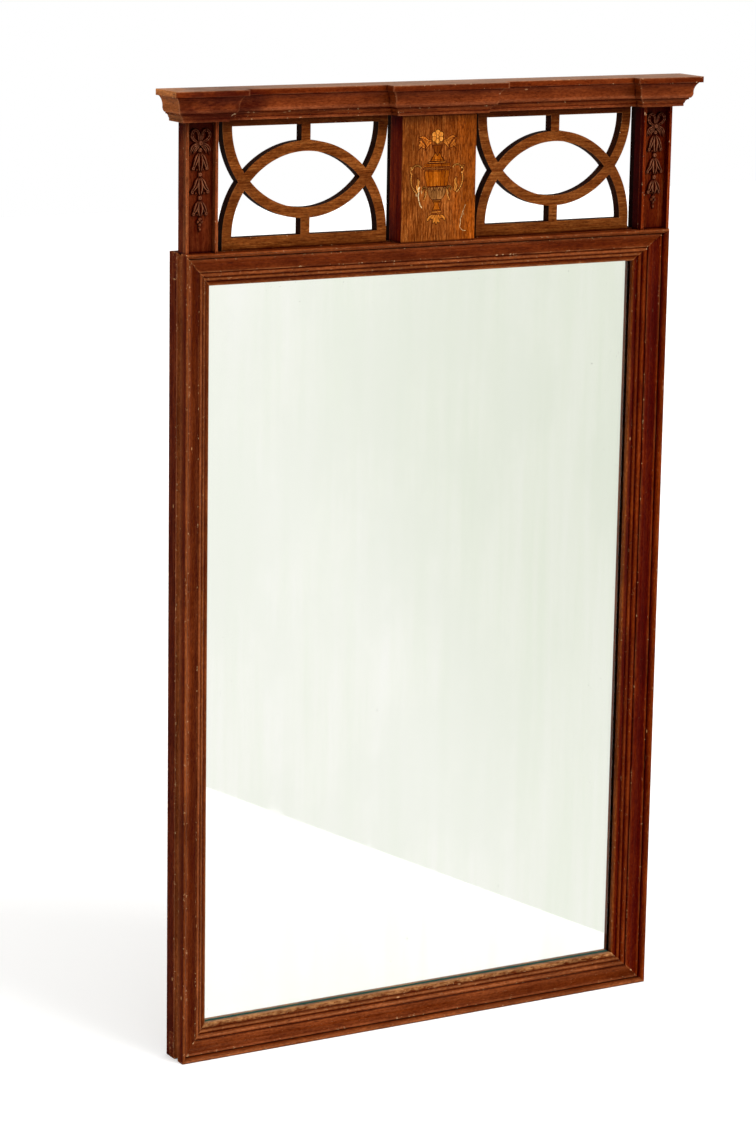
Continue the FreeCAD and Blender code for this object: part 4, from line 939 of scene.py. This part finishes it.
cornice_tones = dict(dark=(66, 25, 9), middle=(104, 45, 19), light=(136, 70, 34), streaky=0.5,
                     worn=(176, 112, 74), wear=0.25, chips=0.4, dust=0.5, shine=0.4,
                     tint=cornice_tint)
dress("cornice_core", wood("cornice core", "X", shift=81.0, **cornice_tones))
unchipped = dict(cornice_tones, wear=0.18, chips=0)
dress("cornice_break_left", wood("left break", "X", shift=82.0, **unchipped), eased=0.3)
dress("cornice_step_left", wood("left step", "Y", shift=88.0, **unchipped), eased=0.3)
dress("cornice_end_left", wood("left return", "Y", shift=89.0,
                               **dict(cornice_tones, wear=0.6, chips=0.7, tint=lit_return)),
      eased=0.3)
for shift, (part, name) in enumerate((("recess_left", "left recess"), ("centre", "centre length"),
                                      ("recess_right", "right recess"),
                                      ("break_right", "right break")), 83):
    dress(f"cornice_{part}", wood(name, "X", shift=shift, **cornice_tones), eased=0.3)
dress("cornice_centre_left cornice_centre_right cornice_step_right cornice_end_right",
      wood("cornice returns", "Y", shift=87.0, **cornice_tones), eased=0.3)


# Studio: the mirror stands on a plain pale floor in soft light. Only the plate sees the tall pale
# card that stands at the right, where the wall and floor meet in its reflection.

floor_level = cad_box[0].z


def lit_floor():
    """Seen white by the camera and through the plate, but dark in the gloss of the polish."""
    made = Finish("pale floor")
    made.look("Roughness", 0.9)
    made.look("Specular IOR Level", 0.1)
    path = made.node("LightPath").outputs
    polish = made.sum("SUBTRACT", path["Is Glossy Ray"], path["Is Transmission Ray"], clamp=True)
    made.look("Base Color", made.blend(polish, (0.88, 0.88, 0.87, 1), (0.10, 0.10, 0.10, 1)))
    made.look("Emission Color", (1.0, 1.0, 0.99, 1))
    made.look("Emission Strength", made.plus(made.times(path["Is Transmission Ray"], 0.14),
                                             made.times(path["Is Camera Ray"], 0.28)))
    return made.material


def flat_sheet(name, corners, material):
    """A flat sheet of the studio, which is no part of the mirror."""
    data = bpy.data.meshes.new(name)
    data.from_pydata(corners, [], [tuple(range(len(corners)))])
    sheet = set_up(name, data, material)
    return sheet


flat_sheet("floor", [(-8, -8, floor_level), (8, -8, floor_level), (8, 8, floor_level),
                     (-8, 8, floor_level)], lit_floor())

card_finish = Finish("reflected card")
card_finish.look("Base Color", (0.0, 0.0, 0.0, 1))
card_finish.look("Specular IOR Level", 0.0)
wall_light = card_finish.plus(card_finish.ramp("Y", -0.15, -1.1),
                              card_finish.ramp("Z", -0.3, -0.96, 0.0, 0.7))
card_finish.look("Emission Color", card_finish.shades(
    wall_light, (0.0, seen(233, 236, 226)), (1.0, seen(250, 250, 246))))
card_finish.look("Emission Strength", 1.0)
# The card stands along this line on the floor, from beside the frame out into the room.
near, far = Vector((0.402, -0.175)), Vector((0.251, -1.067))
run = (far - near).normalized()
card_start, card_end, card_top = near - run * 0.02, near + run * 7.6, 1.6
card = flat_sheet("reflected_card", [(*card_start, floor_level), (*card_end, floor_level),
                                     (*card_end, card_top), (*card_start, card_top)],
                  card_finish.material)
card.visible_camera = card.visible_diffuse = card.visible_shadow = False

world = bpy.data.worlds.new("studio")
bpy.context.scene.world = world
world.use_nodes = True
sky = Recipe(world.node_tree)

# The air is white where it is looked at, also through the plate; it lights the wood more from
# above than from the sides, and shows only dimly in the polish.
parts = sky.node("SeparateXYZ", Vector=sky.node("TexCoord").outputs["Generated"])
height = sky.node("MapRange", Value=parts.outputs["Z"], **{
    "From Min": -0.1, "From Max": 0.9, "To Min": 0.30, "To Max": 0.95})
path = sky.node("LightPath").outputs
dull = sky.node("Mix", Factor=path["Is Glossy Ray"], A=height.outputs["Result"], B=0.10)
looked_at = sky.larger(path["Is Camera Ray"], path["Is Transmission Ray"])
bright = sky.node("Mix", Factor=looked_at, A=dull.outputs["Result"], B=1.0)
air = sky.node("Background", Color=(1.0, 1.0, 1.0, 1), Strength=bright.outputs["Result"])
sky.node("OutputWorld", Surface=air.outputs["Background"])


def soft_lamp(name, towards, strength, softness):
    """A large even lamp, far enough away that its light doesn't fall off across the floor."""
    lamp = bpy.data.lights.new(name, "SUN")
    lamp.energy = strength
    lamp.angle = math.radians(softness)
    holder = bpy.data.objects.new(name, lamp)
    bpy.context.scene.collection.objects.link(holder)
    holder.rotation_mode = "QUATERNION"
    holder.rotation_quaternion = Vector(towards).to_track_quat("-Z", "Y")


soft_lamp("key_lamp", (-1.0, 2.0, -2.0), 1.95, 32)
soft_lamp("fill_lamp", (1.6, 1.6, -0.9), 0.50, 70)

# The camera's place, directions and lens, as solved from the frame's outline in the photograph.
camera_data = bpy.data.cameras.new("camera")
camera_data.lens = 112.24
camera_data.sensor_width = 36.0
camera_data.shift_x = 0.0001
camera_data.shift_y = 0.0004
camera = bpy.data.objects.new("camera", camera_data)
bpy.context.scene.collection.objects.link(camera)
camera_right = Vector((0.86605, -0.49969, 0.01627))
camera_up = Vector((0.09250, 0.19213, 0.97700))
camera_back = Vector((-0.49132, -0.84463, 0.21262))
turn = Matrix((camera_right, camera_up, camera_back)).transposed().to_4x4()
camera_place = (-2.17606, -3.65561, 0.53283)
camera.matrix_world = Matrix.Translation(camera_place) @ turn
bpy.context.scene.camera = camera
bpy.context.scene.view_settings.view_transform = "Standard"
